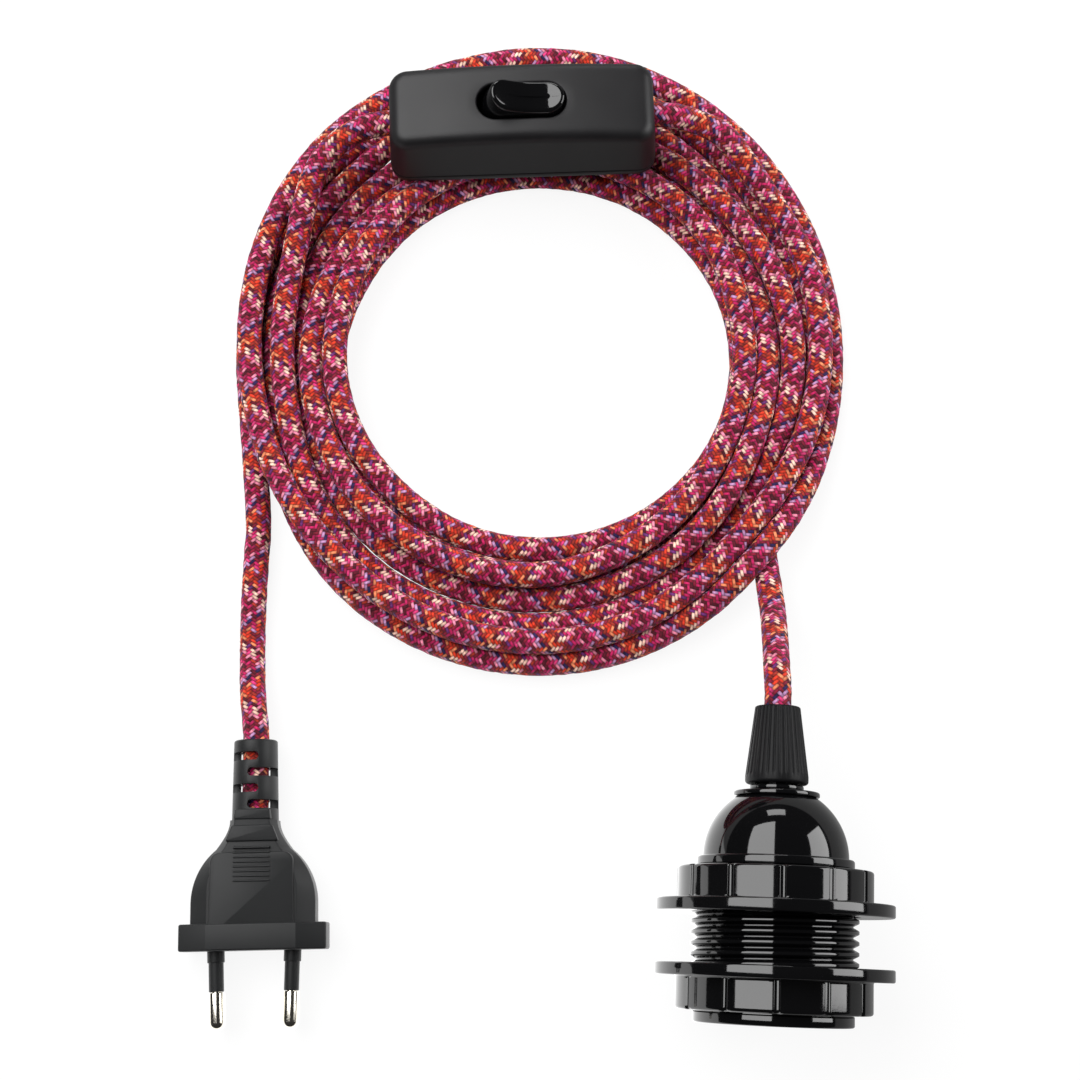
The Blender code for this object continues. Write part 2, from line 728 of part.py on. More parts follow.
def plug_slot(y, side):
    """A slot across one side of the strain relief, with a round inner end just past the middle."""
    half = PLUG_SLOT_W / 2
    inner = PLUG_SLOT_PAST_CENTRE - half
    round_end = arc((inner, y), half, -math.pi / 2, math.pi / 2, 6)
    outline = round_end + [(-PLUG_NECK_D, y + half), (-PLUG_NECK_D, y - half)]
    return prism([(side * x, y) for x, y in outline], "Z", -PLUG_NECK_D, PLUG_NECK_D)


def grip_ribs():
    """Rows of low ridges on the top and bottom facets."""
    ridges = []
    profile = ((0.0, -1), (0.5, -1), (0.4, 1), (0.1, 1))
    for face in (1, -1):
        z = face * PLUG_BODY_T / 2
        for i in range(PLUG_RIBS):
            y = PLUG_RIBS_FROM + PLUG_RIB_PITCH * i
            outline = [(y + PLUG_RIB_PITCH * share, z + face * PLUG_RIB_H * up) for share, up in profile]
            ridges.append(prism(outline, "X", -PLUG_RIB_W / 2, PLUG_RIB_W / 2))
    return gathered(*ridges)


def pin_outline():
    """A pin from its root in the moulding to its round tip."""
    shank, radius = SHANK_D / 2, PIN_D / 2
    tip = arc((0.0, PIN_LENGTH - radius), radius, 0.0, math.pi / 2, 4)[:-1]
    return [
        (0.0, -PIN_ROOT),
        (shank, -PIN_ROOT),
        (shank, SLEEVE_LENGTH + FIT),
        (radius, SLEEVE_LENGTH + FIT),
        *tip,
        (0.0, PIN_LENGTH),
    ]


def pin_socket():
    """The stepped hole in the moulding for a pin's root and the start of its sleeve."""
    shank, sleeve = SHANK_D / 2 + FIT, SLEEVE_D / 2 + FIT
    step = -SLEEVE_ROOT - FIT
    floor = -PIN_ROOT - FIT
    return [(0.0, floor), (shank, floor), (shank, step), (sleeve, step), (sleeve, FIT), (0.0, FIT)]


def build_plug():
    body = add("plug_body", plug_body(), matte_black, plug_frame)
    shape_with(body, plug_flange(), "UNION")
    shape_with(body, plug_neck(), "UNION")
    shape_with(body, grip_ribs(), "UNION")
    bore_end = PLUG_NECK_END + FIT
    bore = cylinder(CORD_BORE_D, PLUG_BORE_FROM, bore_end, 24)
    cuts = [moved(bore, Matrix.Rotation(-math.pi / 2, 4, "X"))]
    for side in (-1, 1):
        cuts.append(moved(turned(pin_socket(), PIN_SIDES), pin_place(side)))
    shape_with(body, gathered(*cuts))
    slots = []
    for i in range(PLUG_SLOTS):
        y = PLUG_NECK_END - PLUG_SLOT_FROM_END - PLUG_SLOT_PITCH * i
        slots.append(plug_slot(y, 1 if i % 2 == 0 else -1))
    shape_with(body, gathered(*slots))
    bore_r = SHANK_D / 2 + FIT
    sleeve = [(bore_r, -SLEEVE_ROOT), (SLEEVE_D / 2, -SLEEVE_ROOT)]
    sleeve += [(SLEEVE_D / 2, SLEEVE_LENGTH), (bore_r, SLEEVE_LENGTH)]
    for side, word in ((-1, "left"), (1, "right")):
        place = pin_place(side)
        pin = add(f"plug_pin_{word}", turned(pin_outline(), PIN_SIDES), nickel, plug_frame)
        cover = add(f"pin_sleeve_{word}", turned(sleeve, PIN_SIDES), matte_black, plug_frame)
        pin.matrix_basis = place
        cover.matrix_basis = place


def pin_place(side):
    """A pin's own frame: Z from its root at the flange towards its tip, leaning to the plug's middle."""
    at = Matrix.Translation((side * PIN_SPACING / 2, 0.0, 0.0))
    return at @ Matrix.Rotation(-side * PIN_TOE_IN, 4, "Z") @ Matrix.Rotation(math.pi / 2, 4, "X")


# Switch: its own frame has X along the cord and Z up
switch_frame = frame("switch_middle", SWITCH_PLACE, (0.0, 0.0, SWITCH_TURN))
PARTING = BASE_H + FIT
COVER_INNER_TOP = SWITCH_H - SWITCH_WALL
PIVOT_H = SWITCH_H - PIVOT_DROP
STEM_END = PIVOT_H - ROCKER_SKIRT - STEM_LENGTH + PIVOT_DROP
ARM_TOP = STEM_END - PLUNGER_REACH


def arched(x, height):
    """The cover's height above a point, falling away from the middle towards both ends."""
    return height - SWITCH_ARCH * (x / (SWITCH_LENGTH / 2)) ** 2


def rounded_outline(length, width, corner, along=8, across=2, turn=4):
    """A rounded rectangle with its long sides split, so that the arch of the cover bends smoothly."""
    x, y = length / 2 - corner, width / 2 - corner
    points = []
    for sx, sy, start in ((1, 1, 0.0), (-1, 1, 0.5), (-1, -1, 1.0), (1, -1, 1.5)):
        points += arc((sx * x, sy * y), corner, start * math.pi, (start + 0.5) * math.pi, turn)
        straight = along if start in (0.0, 1.0) else across
        here = points[-1]
        there = (-here[0], here[1]) if start in (0.0, 1.0) else (here[0], -here[1])
        for i in range(1, straight):
            share = i / straight
            points.append((here[0] + (there[0] - here[0]) * share, here[1] + (there[1] - here[1]) * share))
    return points


def cover_rings(inset, top, edge_r, low):
    """Rings of a shell's surface from its parting line up over the rounded edge to the ridge line."""
    rings = []

    def ring(shrink, drop):
        corner = max(SWITCH_CORNER_R - shrink, WELD)
        outline = rounded_outline(SWITCH_LENGTH - 2 * shrink, SWITCH_W - 2 * shrink, corner)
        return [Vector((x, y, arched(x, top) - drop)) for x, y in outline]

    outline = rounded_outline(SWITCH_LENGTH - 2 * inset, SWITCH_W - 2 * inset, SWITCH_CORNER_R - inset)
    rings.append([Vector((x, y, low)) for x, y in outline])
    for i in range(5):
        angle = math.pi / 2 * i / 4
        rings.append(ring(inset + edge_r * (1 - math.cos(angle)), edge_r * (1 - math.sin(angle))))
    ridge = SWITCH_W / 2 - WELD
    rings.append(ring((inset + edge_r + ridge) / 2, 0.0))
    rings.append(ring(ridge, 0.0))
    spine = [Vector((p.x, 0.0, p.z)) for p in rings[-1]]
    rings[-1] = spine
    return rings


def stadium(length, width, steps=8):
    """Points of a straight-sided oval."""
    r = width / 2
    x = length / 2 - r
    return arc((x, 0.0), r, -math.pi / 2, math.pi / 2, steps) + arc(
        (-x, 0.0), r, math.pi / 2, 3 * math.pi / 2, steps
    )


def rocker_mesh():
    """The rocker about its pivot: a lozenge with sloped ends, a dished top and a hollow stem below."""
    base = PIVOT_DROP - ROCKER_SKIRT
    middle_top = PIVOT_DROP + ROCKER_RISE - ROCKER_DISH

    def ring(length, width, height, dish=0.0):
        return [
            Vector((x, y, height + dish * (2 * x / ROCKER_LENGTH) ** 2)) for x, y in stadium(length, width)
        ]

    rings = [
        ring(ROCKER_LENGTH - 2 * ROCKER_FOOT_INSET, ROCKER_W, base),
        ring(ROCKER_LENGTH, ROCKER_W, PIVOT_DROP - ROCKER_SIDE_DROP),
    ]
    for inset, rise in arc((ROCKER_EDGE_R, 0.0), ROCKER_EDGE_R, math.pi, math.pi / 2, 3):
        height = middle_top - ROCKER_EDGE_R + rise
        rings.append(ring(ROCKER_TOP_LENGTH - 2 * inset, ROCKER_TOP_W - 2 * inset, height, ROCKER_DISH))
    return skinned(rings)


def build_rocker():
    pivot = (0.0, 0.0, PIVOT_H)
    lean = (0.0, ROCKER_TILT, 0.0)
    rocker = add("rocker", rocker_mesh(), gloss_black, switch_frame, pivot, lean)
    base = PIVOT_DROP - ROCKER_SKIRT
    end = STEM_END - PIVOT_H
    shape_with(rocker, cylinder(STEM_D, end, base + FIT, 20), "UNION")
    hole = cylinder(PIVOT_D + 2 * FIT, -ROCKER_W, ROCKER_W, 20)
    spring_room = cylinder(SPRING_D + 2 * FIT, end - FIT, -PIVOT_D / 2 - 4 * FIT, 16)
    shape_with(rocker, gathered(moved(hole, Matrix.Rotation(math.pi / 2, 4, "X")), spring_room))
    pin = cylinder(PIVOT_D, -PIVOT_LENGTH / 2, PIVOT_LENGTH / 2, 16)
    add("rocker_pivot", moved(pin, Matrix.Rotation(math.pi / 2, 4, "X")), nickel, switch_frame, pivot)

    spring_top = -PIVOT_D / 2 - 5 * FIT
    add("rocker_spring", coil_spring(spring_top), nickel, switch_frame, pivot, lean)
    head = spring_top - SPRING_H - FIT
    tip = ARM_TOP + FIT - PIVOT_H
    radius = SPRING_D / 2
    nose = arc((0.0, tip + radius), radius, -math.pi / 2, 0.0, 4)[1:]
    outline = [(0.0, tip), *nose, (radius, head), (0.0, head)]
    add("rocker_plunger", turned(outline, 16), nickel, switch_frame, pivot, lean)


def coil_spring(top):
    """A small compression spring wound round Z."""
    steps = 12
    wire = SPRING_WIRE_D / 2
    radius = SPRING_D / 2 - wire
    rise = SPRING_H - 2 * wire
    rings = []
    for i in range(SPRING_TURNS * steps + 1):
        angle = math.tau * i / steps
        out = Vector((math.cos(angle), math.sin(angle), 0.0))
        drop = wire + rise * i / (SPRING_TURNS * steps)
        section = circle(wire, 0.0, SPRING_WIRE_SIDES)
        rings.append([out * (radius + p.x) + Vector((0.0, 0.0, top - drop + p.y)) for p in section])
    return skinned(rings)


def build_switch():
    outer = cover_rings(0.0, SWITCH_H, SWITCH_EDGE_R, PARTING)
    inner = cover_rings(SWITCH_WALL, COVER_INNER_TOP, SWITCH_EDGE_R - SWITCH_WALL / 2, PARTING)
    cover = add("switch_cover", skinned(outer[::-1] + inner, "welded"), matte_black, switch_frame)
    lug_y = ROCKER_HOLE_W / 2
    lugs = []
    for side in (-1, 1):
        near, far = sorted((side * (lug_y + FIT), side * (lug_y + FIT + LUG_T)))
        half = PIVOT_D / 2 + FIT + LUG_T
        lugs.append(block((-half, near, PIVOT_H - half), (half, far, COVER_INNER_TOP + FIT)))
    shape_with(cover, gathered(*lugs), "UNION")
    oval = prism(stadium(ROCKER_HOLE_LENGTH, ROCKER_HOLE_W), "Z", COVER_INNER_TOP - 0.001, SWITCH_H + FIT)
    pin_hole = cylinder(PIVOT_D + 2 * FIT, -PIVOT_LENGTH / 2 - FIT, PIVOT_LENGTH / 2 + FIT, 20)
    at_pivot = Matrix.Translation((0.0, 0.0, PIVOT_H)) @ Matrix.Rotation(math.pi / 2, 4, "X")
    cuts = [oval, moved(pin_hole, at_pivot)]
    radius = CORD_BORE_D / 2
    for side in (-1, 1):
        arch = arc((0.0, CORD_ENTRY_H), radius, 0.0, math.pi, 10)
        door = [(radius, PARTING - FIT), *arch, (-radius, PARTING - FIT)]
        low, high = sorted((side * (SWITCH_LENGTH / 2 - 2 * SWITCH_WALL), side * (SWITCH_LENGTH / 2 + FIT)))
        cuts.append(prism(door, "X", low, high))
    shape_with(cover, gathered(*cuts))

    build_switch_base()
    build_rocker()
    build_switch_works()


def build_switch_base():
    """The shallow tray under the cover, with a cradle that fills each doorway up to the cord."""
    def outline(inset):
        return rounded_outline(SWITCH_LENGTH - 2 * inset, SWITCH_W - 2 * inset, SWITCH_CORNER_R - inset)

    tray = SWITCH_WALL + FIT
    levels = ((BASE_CHAMFER, 0.0), (0.0, BASE_CHAMFER), (0.0, BASE_H), (tray, BASE_H), (tray, BASE_FLOOR_T))
    rings = [[Vector((x, y, z)) for x, y in outline(inset)] for inset, z in levels]
    base = add("switch_base", skinned(rings), matte_black, switch_frame)
    half = CORD_BORE_D / 2 - FIT
    foot = BASE_H - 2 * FIT
    reach = math.acos(half / (CORD_BORE_D / 2))
    cradle = arc((0.0, CORD_ENTRY_H), CORD_BORE_D / 2, -reach, reach - math.pi, 8)
    cradles = []
    for side in (-1, 1):
        low, high = sorted((side * (SWITCH_LENGTH / 2 - SWITCH_WALL), side * SWITCH_LENGTH / 2))
        cradles.append(prism([(-half, foot), (half, foot), *cradle], "X", low, high))
    shape_with(base, gathered(*cradles), "UNION")


def build_switch_works():
    """Contacts, cord clamps and screws inside the switch."""
    floor = BASE_FLOOR_T + FIT
    pivot_z = ARM_TOP - ARM_T
    arm = [(-ARM_LENGTH / 2, 0.0), (0.0, 0.0), (ARM_LENGTH / 2, 0.0), (ARM_LENGTH / 2, ARM_T)]
    arm += [(-ARM_LENGTH / 2, ARM_T)]
    lean = (0.0, -ARM_TILT, 0.0)
    place = (0.0, 0.0, pivot_z)
    add("contact_arm", prism(arm, "Y", -ARM_W / 2, ARM_W / 2), brass, switch_frame, place, lean)
    half = PIVOT_CONTACT_T / 2
    shoulder = pivot_z - FIT - half
    knife = [(-half, floor), (half, floor), (half, shoulder), (0.0, pivot_z - FIT), (-half, shoulder)]
    add("pivot_contact", prism(knife, "Y", -ARM_W / 2, ARM_W / 2), brass, switch_frame)
    reach = ARM_LENGTH / 2 * math.sin(ARM_TILT) + FIT
    end = -ARM_LENGTH / 2
    post = block((end, -ARM_W / 2, floor), (end + FIXED_CONTACT_T, ARM_W / 2, pivot_z - reach))
    add("fixed_contact", post, brass, switch_frame)

    half = CLAMP_SIZE / 2
    low = CORD_ENTRY_H + CORD_D / 2 + FIT
    top = low + CLAMP_SIZE.z
    edge = half.y - SCREW_HEAD_D / 2
    hole_d = SCREW_D + 2 * FIT
    for side, word in ((-1, "left"), (1, "right")):
        x = side * (SWITCH_LENGTH / 2 - CLAMP_FROM_END)
        bar = block((x - half.x, -half.y, low), (x + half.x, half.y, top))
        clamp = add(f"cord_clamp_{word}", bar, nickel, switch_frame)
        holes = [cylinder(hole_d, low - FIT, top + FIT, 16, (x, y)) for y in (-edge, edge)]
        shape_with(clamp, gathered(*holes))
        for number, y in enumerate((-edge, edge), 1):
            fastener = screw(top + FIT + SCREW_HEAD_T, top - floor, (x, y))
            add(f"clamp_screw_{word}_{number}", fastener, nickel, switch_frame)


# Cord: the coil, the two free leads and the two short ends at the switch
def cord_coil():
    """The outer shape of the wound cord: an oval ring with rounded edges."""
    rings = []
    lift = Vector((0.0, 0.0, COIL_EDGE_R))
    roof = Vector((0.0, 0.0, COIL_H))
    for i in range(COIL_SIDES):
        angle = math.tau * i / COIL_SIDES
        outer = Vector((COIL_OUTER.x * math.cos(angle), COIL_OUTER.y * math.sin(angle), 0.0))
        inner = Vector((COIL_INNER.x * math.cos(angle), COIL_INNER.y * math.sin(angle), 0.0))
        inner.y += COIL_INNER_SHIFT
        across = (outer - inner).normalized() * COIL_EDGE_R
        rings.append([
            outer + lift, outer + roof - lift, outer - across + roof, inner + across + roof,
            inner + roof - lift, inner + lift, inner + across, outer - across,
        ])
    place = Matrix.Translation(COIL_CENTRE) @ Matrix.Rotation(COIL_TURN, 4, "Z")
    return moved(skinned(rings, "joined"), place)


def smooth_route(points, spacing):
    """Points read from a smooth curve through a route's own points."""
    route = [Vector(p) for p in points]
    route = [2 * route[0] - route[1]] + route + [2 * route[-1] - route[-2]]
    line = [route[1]]
    for a, b, c, d in zip(route, route[1:], route[2:], route[3:]):
        steps = max(1, round((c - b).length / spacing))
        for i in range(1, steps + 1):
            t = i / steps
            line.append(0.5 * (2 * b + (c - a) * t + (2 * a - 5 * b + 4 * c - d) * t * t
                               + (3 * b - a - 3 * c + d) * t ** 3))
    return line


def cord_tube(name, points):
    """A plain round tube along a route."""
    curve = bpy.data.curves.new(name, "CURVE")
    curve.dimensions = "3D"
    curve.bevel_depth = CORD_D / 2
    curve.bevel_resolution = CORD_SIDES_RESOLUTION
    curve.use_fill_caps = True
    line = smooth_route(points, 2 * CORD_D)
    spline = curve.splines.new("POLY")
    spline.points.add(len(line) - 1)
    for spot, point in zip(spline.points, line):
        spot.co = (*point, 1.0)
    curve.materials.append(cloth(name + "_finish"))
    tube = bpy.data.objects.new(name, curve)
    bpy.context.collection.objects.link(tube)


def on_plug_axis(distance):
    """A point on the plug's centre line, at a distance behind its front face."""
    return PLUG_FRONT + Vector((-math.sin(PLUG_LEAN), math.cos(PLUG_LEAN), 0.0)) * distance


def on_holder_axis(height):
    """A point on the lamp holder's axis, at a height above its mouth."""
    return Vector((0.0, height - HOLDER_LENGTH / 2, RING_D / 2))


def at_switch_end(side, distance, drop=0.0, sideways=0.0):
    """A point off one end of the switch, along the cord's way out of it."""
    local = Vector((side * (SWITCH_LENGTH / 2 + distance), sideways, CORD_ENTRY_H - drop))
    return SWITCH_PLACE + Matrix.Rotation(SWITCH_TURN, 3, "Z") @ local


def build_cord():
    add("cord_coil", cord_coil(), cloth)
    cord_tube("plug_lead", [
        on_plug_axis(0.0318),
        on_plug_axis(0.0459),
        on_plug_axis(0.0539),
        (-0.1309, 0.0377, 0.0058),
        (-0.1323, 0.0507, CORD_REST_H),
        (-0.1329, 0.0627, CORD_REST_H),
        (-0.1330, 0.0747, CORD_REST_H),
        (-0.1333, 0.0857, CORD_REST_H),
    ])
    cord_tube("holder_lead", [
        on_holder_axis(0.0637),
        on_holder_axis(0.0730),
        on_holder_axis(0.0790),
        (-0.0017, 0.0480, 0.0255),
        (-0.0000, 0.0570, 0.0180),
        (0.0007, 0.0641, 0.0115),
        (-0.0002, 0.0723, 0.0078),
    ])
    for side, word in ((-1, "left"), (1, "right")):
        cord_tube(f"switch_lead_{word}", [
            at_switch_end(side, -0.0046),
            at_switch_end(side, 0.0015),
            at_switch_end(side, 0.0070, 0.0010, -0.0005),
            at_switch_end(side, 0.0130, 0.0030, -0.0020),
            at_switch_end(side, 0.0190, 0.0042, -0.0045),
        ])


build_lamp_holder()
build_plug()
build_switch()
build_cord()
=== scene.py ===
"""Looks of the pendant light: camera and light, then each piece in the order it is put together.

Metres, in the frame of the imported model: +Y along the lamp holder from its mouth to its cord grip, +Z up.
"""

import json
import math

import bmesh
import bpy
import numpy as np
from mathutils import Matrix, Vector

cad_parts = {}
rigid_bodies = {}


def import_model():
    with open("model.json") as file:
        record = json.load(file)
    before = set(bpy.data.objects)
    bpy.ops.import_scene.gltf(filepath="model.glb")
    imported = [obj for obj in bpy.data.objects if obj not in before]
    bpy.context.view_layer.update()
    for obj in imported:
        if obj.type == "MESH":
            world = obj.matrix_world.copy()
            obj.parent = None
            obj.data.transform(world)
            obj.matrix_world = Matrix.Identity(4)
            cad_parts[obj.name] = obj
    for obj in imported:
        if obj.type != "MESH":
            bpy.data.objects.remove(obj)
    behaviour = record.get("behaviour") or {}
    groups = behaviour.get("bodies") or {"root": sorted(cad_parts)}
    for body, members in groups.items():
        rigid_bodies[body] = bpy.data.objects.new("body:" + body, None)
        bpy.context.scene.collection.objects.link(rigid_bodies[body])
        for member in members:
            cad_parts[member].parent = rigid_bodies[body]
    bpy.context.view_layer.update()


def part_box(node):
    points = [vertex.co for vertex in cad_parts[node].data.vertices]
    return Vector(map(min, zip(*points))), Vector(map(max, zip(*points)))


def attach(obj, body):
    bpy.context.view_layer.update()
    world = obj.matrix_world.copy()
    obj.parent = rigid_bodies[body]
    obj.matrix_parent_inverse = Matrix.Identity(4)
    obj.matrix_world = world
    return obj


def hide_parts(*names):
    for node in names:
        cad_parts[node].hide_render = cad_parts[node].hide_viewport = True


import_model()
scene = bpy.context.scene


# Camera. The set is photographed from nearly overhead, leaning a little towards the top of the picture.
CAMERA_PLACE = (-0.0552, -0.0260, 0.5000)
CAMERA_TILT = math.radians(12.28)
CAMERA_TURN = math.radians(2.33)
CAMERA_LENS = 65.07

camera_data = bpy.data.cameras.new("camera")
camera_data.lens = CAMERA_LENS
camera_data.sensor_width = 36.0
camera_data.clip_start = 0.01
camera = bpy.data.objects.new("camera", camera_data)
camera.location = CAMERA_PLACE
camera.rotation_euler = (CAMERA_TILT, 0.0, CAMERA_TURN)
scene.collection.objects.link(camera)
scene.camera = camera
scene.view_settings.view_transform = "Standard"


# Table and studio light. A plain white sheet lies under a large soft box, with a small one low at the right
# and one at the far side, in a dim room. In reflections the sheet is bright only left of the lamp holder.
TABLE_HALF = 6.0
TABLE_WHITE = (0.93, 0.93, 0.93, 1.0)
TABLE_GLOW = 0.90
TABLE_REFLECTED = 0.30
TABLE_BRIGHT = 2.2
BRIGHT_FADES = ((0, -0.012, 0.004), (1, 0.050, 0.080))
ROOM_LEVEL = 0.16
ROOM_REFLECTED = 0.04
WHITE = (1.0, 1.0, 1.0, 1.0)
LAMPS = (
    ("box_above", (-0.74, 0.75, 1.10), (0.0, 0.0, 0.0), (1.15, 1.70), 38.0),
    ("right_box", (1.00, 0.38, 0.50), (0.0, math.pi / 2, 0.0), (0.74, 0.86), 12.5),
    ("far_box", (-0.05, 1.50, 0.47), (-1.35, 0.0, 0.0), (0.60, 0.30), 3.0),
)


class Wiring:
    """Short ways to add and join nodes in one tree."""

    def __init__(self, tree):
        self.tree = tree

    def node(self, kind, **settings):
        made = self.tree.nodes.new(kind)
        for key, value in settings.items():
            setattr(made, key, value)
        return made

    def put(self, socket, value):
        if isinstance(value, bpy.types.NodeSocket):
            self.tree.links.new(value, socket)
        else:
            socket.default_value = value

    def maths(self, operation, *values):
        made = self.node("ShaderNodeMath", operation=operation)
        for socket, value in zip(made.inputs, values):
            self.put(socket, value)
        return made.outputs[0]

    def blend(self, share, a, b, kind="MIX"):
        made = self.node("ShaderNodeMix", data_type="RGBA", blend_type=kind)
        self.put(made.inputs["Factor"], share)
        self.put(made.inputs["A"], a)
        self.put(made.inputs["B"], b)
        return made.outputs["Result"]

    def ranged(self, value, to_low, to_high, from_low=0.0, from_high=1.0, kind="LINEAR"):
        """A value taken from one range to another, and held at its ends."""
        made = self.node("ShaderNodeMapRange", interpolation_type=kind)
        ends = {"From Min": from_low, "From Max": from_high, "To Min": to_low, "To Max": to_high}
        for name, end in ends.items():
            self.put(made.inputs[name], end)
        self.put(made.inputs["Value"], value)
        return made.outputs["Result"]


def build_table():
    """The white sheet: it shows white to the camera and keeps a soft shadow of the object."""
    finish = bpy.data.materials.new("white_sheet")
    finish.use_nodes = True
    finish.node_tree.nodes.clear()
    w = Wiring(finish.node_tree)
    rays = w.node("ShaderNodeLightPath").outputs
    place = w.node("ShaderNodeSeparateXYZ")
    w.put(place.inputs[0], w.node("ShaderNodeTexCoord").outputs["Object"])
    # Painted reflection: to glossy rays the sheet glows brightly left of the lamp holder and on the near
    # side, and dimly elsewhere, as a stand-in for where light falls on it
    fades = [w.ranged(place.outputs[axis], 1.0, 0.0, near, far, "SMOOTHSTEP")
             for axis, near, far in BRIGHT_FADES]
    reflected = w.ranged(w.maths("MULTIPLY", *fades), TABLE_REFLECTED, TABLE_BRIGHT)
    glow = w.node("ShaderNodeEmission")
    glow.inputs["Color"].default_value = WHITE
    w.put(glow.inputs["Strength"], w.ranged(rays["Is Glossy Ray"], 1.0, reflected))
    paper = w.node("ShaderNodeBsdfDiffuse")
    paper.inputs["Color"].default_value = TABLE_WHITE
    mix = w.node("ShaderNodeMixShader")
    seen = w.maths("MAXIMUM", rays["Is Camera Ray"], rays["Is Glossy Ray"])
    w.put(mix.inputs["Fac"], w.maths("MULTIPLY", seen, TABLE_GLOW))
    w.put(mix.inputs[1], paper.outputs[0])
    w.put(mix.inputs[2], glow.outputs[0])
    w.put(w.node("ShaderNodeOutputMaterial").inputs["Surface"], mix.outputs[0])

    mesh = bpy.data.meshes.new("table")
    corners = [(x * TABLE_HALF, y * TABLE_HALF, 0.0) for x, y in ((-1, -1), (1, -1), (1, 1), (-1, 1))]
    mesh.from_pydata(corners, [], [(0, 1, 2, 3)])
    mesh.materials.append(finish)
    table = bpy.data.objects.new("table", mesh)
    scene.collection.objects.link(table)


def build_lamps():
    for name, place, turn, size, power in LAMPS:
        data = bpy.data.lights.new(name, "AREA")
        data.shape = "RECTANGLE"
        data.size, data.size_y = size
        data.energy = power
        lamp = bpy.data.objects.new(name, data)
        lamp.location = place
        lamp.rotation_euler = turn
        scene.collection.objects.link(lamp)


def build_room():
    room = bpy.data.worlds.new("room")
    room.use_nodes = True
    w = Wiring(room.node_tree)
    rays = w.node("ShaderNodeLightPath").outputs
    level = w.ranged(rays["Is Glossy Ray"], ROOM_LEVEL, ROOM_REFLECTED)
    back = room.node_tree.nodes["Background"]
    back.inputs["Color"].default_value = WHITE
    w.put(back.inputs["Strength"], w.maths("MAXIMUM", rays["Is Camera Ray"], level))
    scene.world = room


build_table()
build_lamps()
build_room()


# Cord. Two cores under a braided textile cover of 32 yarn carriers, 16 each way, in reds, pinks and violets.
# It runs from the plug up the left, seven and a half times round clockwise, and down to the lamp holder, with
# the switch in the sixth turn. The turns lie two deep, and both free ends pass under the outermost one.
CORD_D = 0.0067
CORD_SIDES = 24
CORD_RING_STEP = 0.0008
CORD_LUMP = 0.00006
CORD_REST_H = CORD_D / 2 + 0.00015

COIL_CENTRE = Vector((-0.0618, 0.1333, 0.0))
COIL_TURN = math.radians(2.3)
COIL_OUTER = Vector((0.0809, 0.0873))
COIL_INNER = Vector((0.0507, 0.0487))
COIL_INNER_SHIFT = -0.0022
COIL_ACROSS = (math.cos(COIL_TURN), math.sin(COIL_TURN))
COIL_AXES = np.array((COIL_ACROSS, (-COIL_ACROSS[1], COIL_ACROSS[0])))
LAYER_RISE = 0.0062

# Where each turn lies at eight stations round the coil, counted in quarter turns from the left side: how far
# out, from 0 on the inside to 1 on the outside, and in which layer
STATIONS = {
    0.0: ((1.00, 0), (0.00, 0), (0.08, 0.8), (0.24, 1), (0.37, 0), (0.56, 1), (0.99, 1), (0.70, 0)),
    0.3: ((0.89, 0), (0.01, 0), (0.09, 0.9), (0.23, 1), (0.39, 0), (0.80, 1), (1.00, 0.7), (0.73, 0)),
    1.0: ((0.62, 0), (0.02, 0), (0.12, 1), (0.22, 0), (0.42, 0), (0.50, 1), (1.00, 0), (0.80, 0)),
    1.5: ((0.50, 0), (0.01, 0), (0.10, 1), (0.24, 0), (0.36, 1), (0.66, 1), (1.00, 0), (0.75, 0)),
    2.0: ((0.33, 0), (0.00, 0), (0.03, 1), (0.32, 1), (0.64, 0.9), (0.89, 1), (1.00, 0), (0.64, 0)),
    2.5: ((0.27, 0), (0.00, 0), (0.14, 1), (0.38, 0.7), (0.60, 0.9), (0.80, 0.9), (1.00, 1.3)),
    3.0: ((0.20, 0), (0.00, 0), (0.30, 1), (0.42, 0), (0.61, 0.1), (0.82, 0.7), (1.00, 0)),
    3.5: ((0.20, 0), (0.00, 0.2), (0.16, 1), (0.40, 0), (0.60, 0.5), (0.90, 1), (0.92, 0)),
}

PLUG_FRONT = Vector((-0.1259, -0.0254, 0.0069))
PLUG_LEAN = math.radians(3.6)
SWITCH_PLACE = Vector((-0.0688, 0.1909, 0.0140))
SWITCH_TURN = math.radians(4.3)
SWITCH_LENGTH = 0.0700
CORD_ENTRY_H = 0.0081
cap_low, cap_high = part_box("holder_cap")
HOLDER_AXIS = Vector((0.0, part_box("threaded_skirt")[0].y, (cap_low.z + cap_high.z) / 2))


def on_plug_axis(distance):
    """A point on the plug's centre line, at a distance behind its front face."""
    return PLUG_FRONT + Vector((-math.sin(PLUG_LEAN), math.cos(PLUG_LEAN), 0.0)) * distance


def on_holder_axis(height):
    """A point on the lamp holder's axis, at a height above its mouth."""
    return HOLDER_AXIS + Vector((0.0, height, 0.0))


def at_switch_end(side, distance, drop=0.0, sideways=0.0):
    """A point off one end of the switch, along the cord's way out of it."""
    local = Vector((side * (SWITCH_LENGTH / 2 + distance), sideways, CORD_ENTRY_H - drop))
    return SWITCH_PLACE + Matrix.Rotation(SWITCH_TURN, 3, "Z") @ local


def in_coil(quarter, out, layer):
    """A point of the coil: quarter turns after the left side, share of the way out, and layer."""
    angle = math.pi - quarter * math.pi / 2
    rim = CORD_D / 2
    outer = Vector(((COIL_OUTER.x - rim) * math.cos(angle), (COIL_OUTER.y - rim) * math.sin(angle), 0.0))
    inner = Vector(((COIL_INNER.x + rim) * math.cos(angle), (COIL_INNER.y + rim) * math.sin(angle), 0.0))
    inner.y += COIL_INNER_SHIFT
    spot = inner.lerp(outer, out) + Vector((0.0, 0.0, CORD_REST_H + LAYER_RISE * layer))
    return COIL_CENTRE + Matrix.Rotation(COIL_TURN, 3, "Z") @ spot


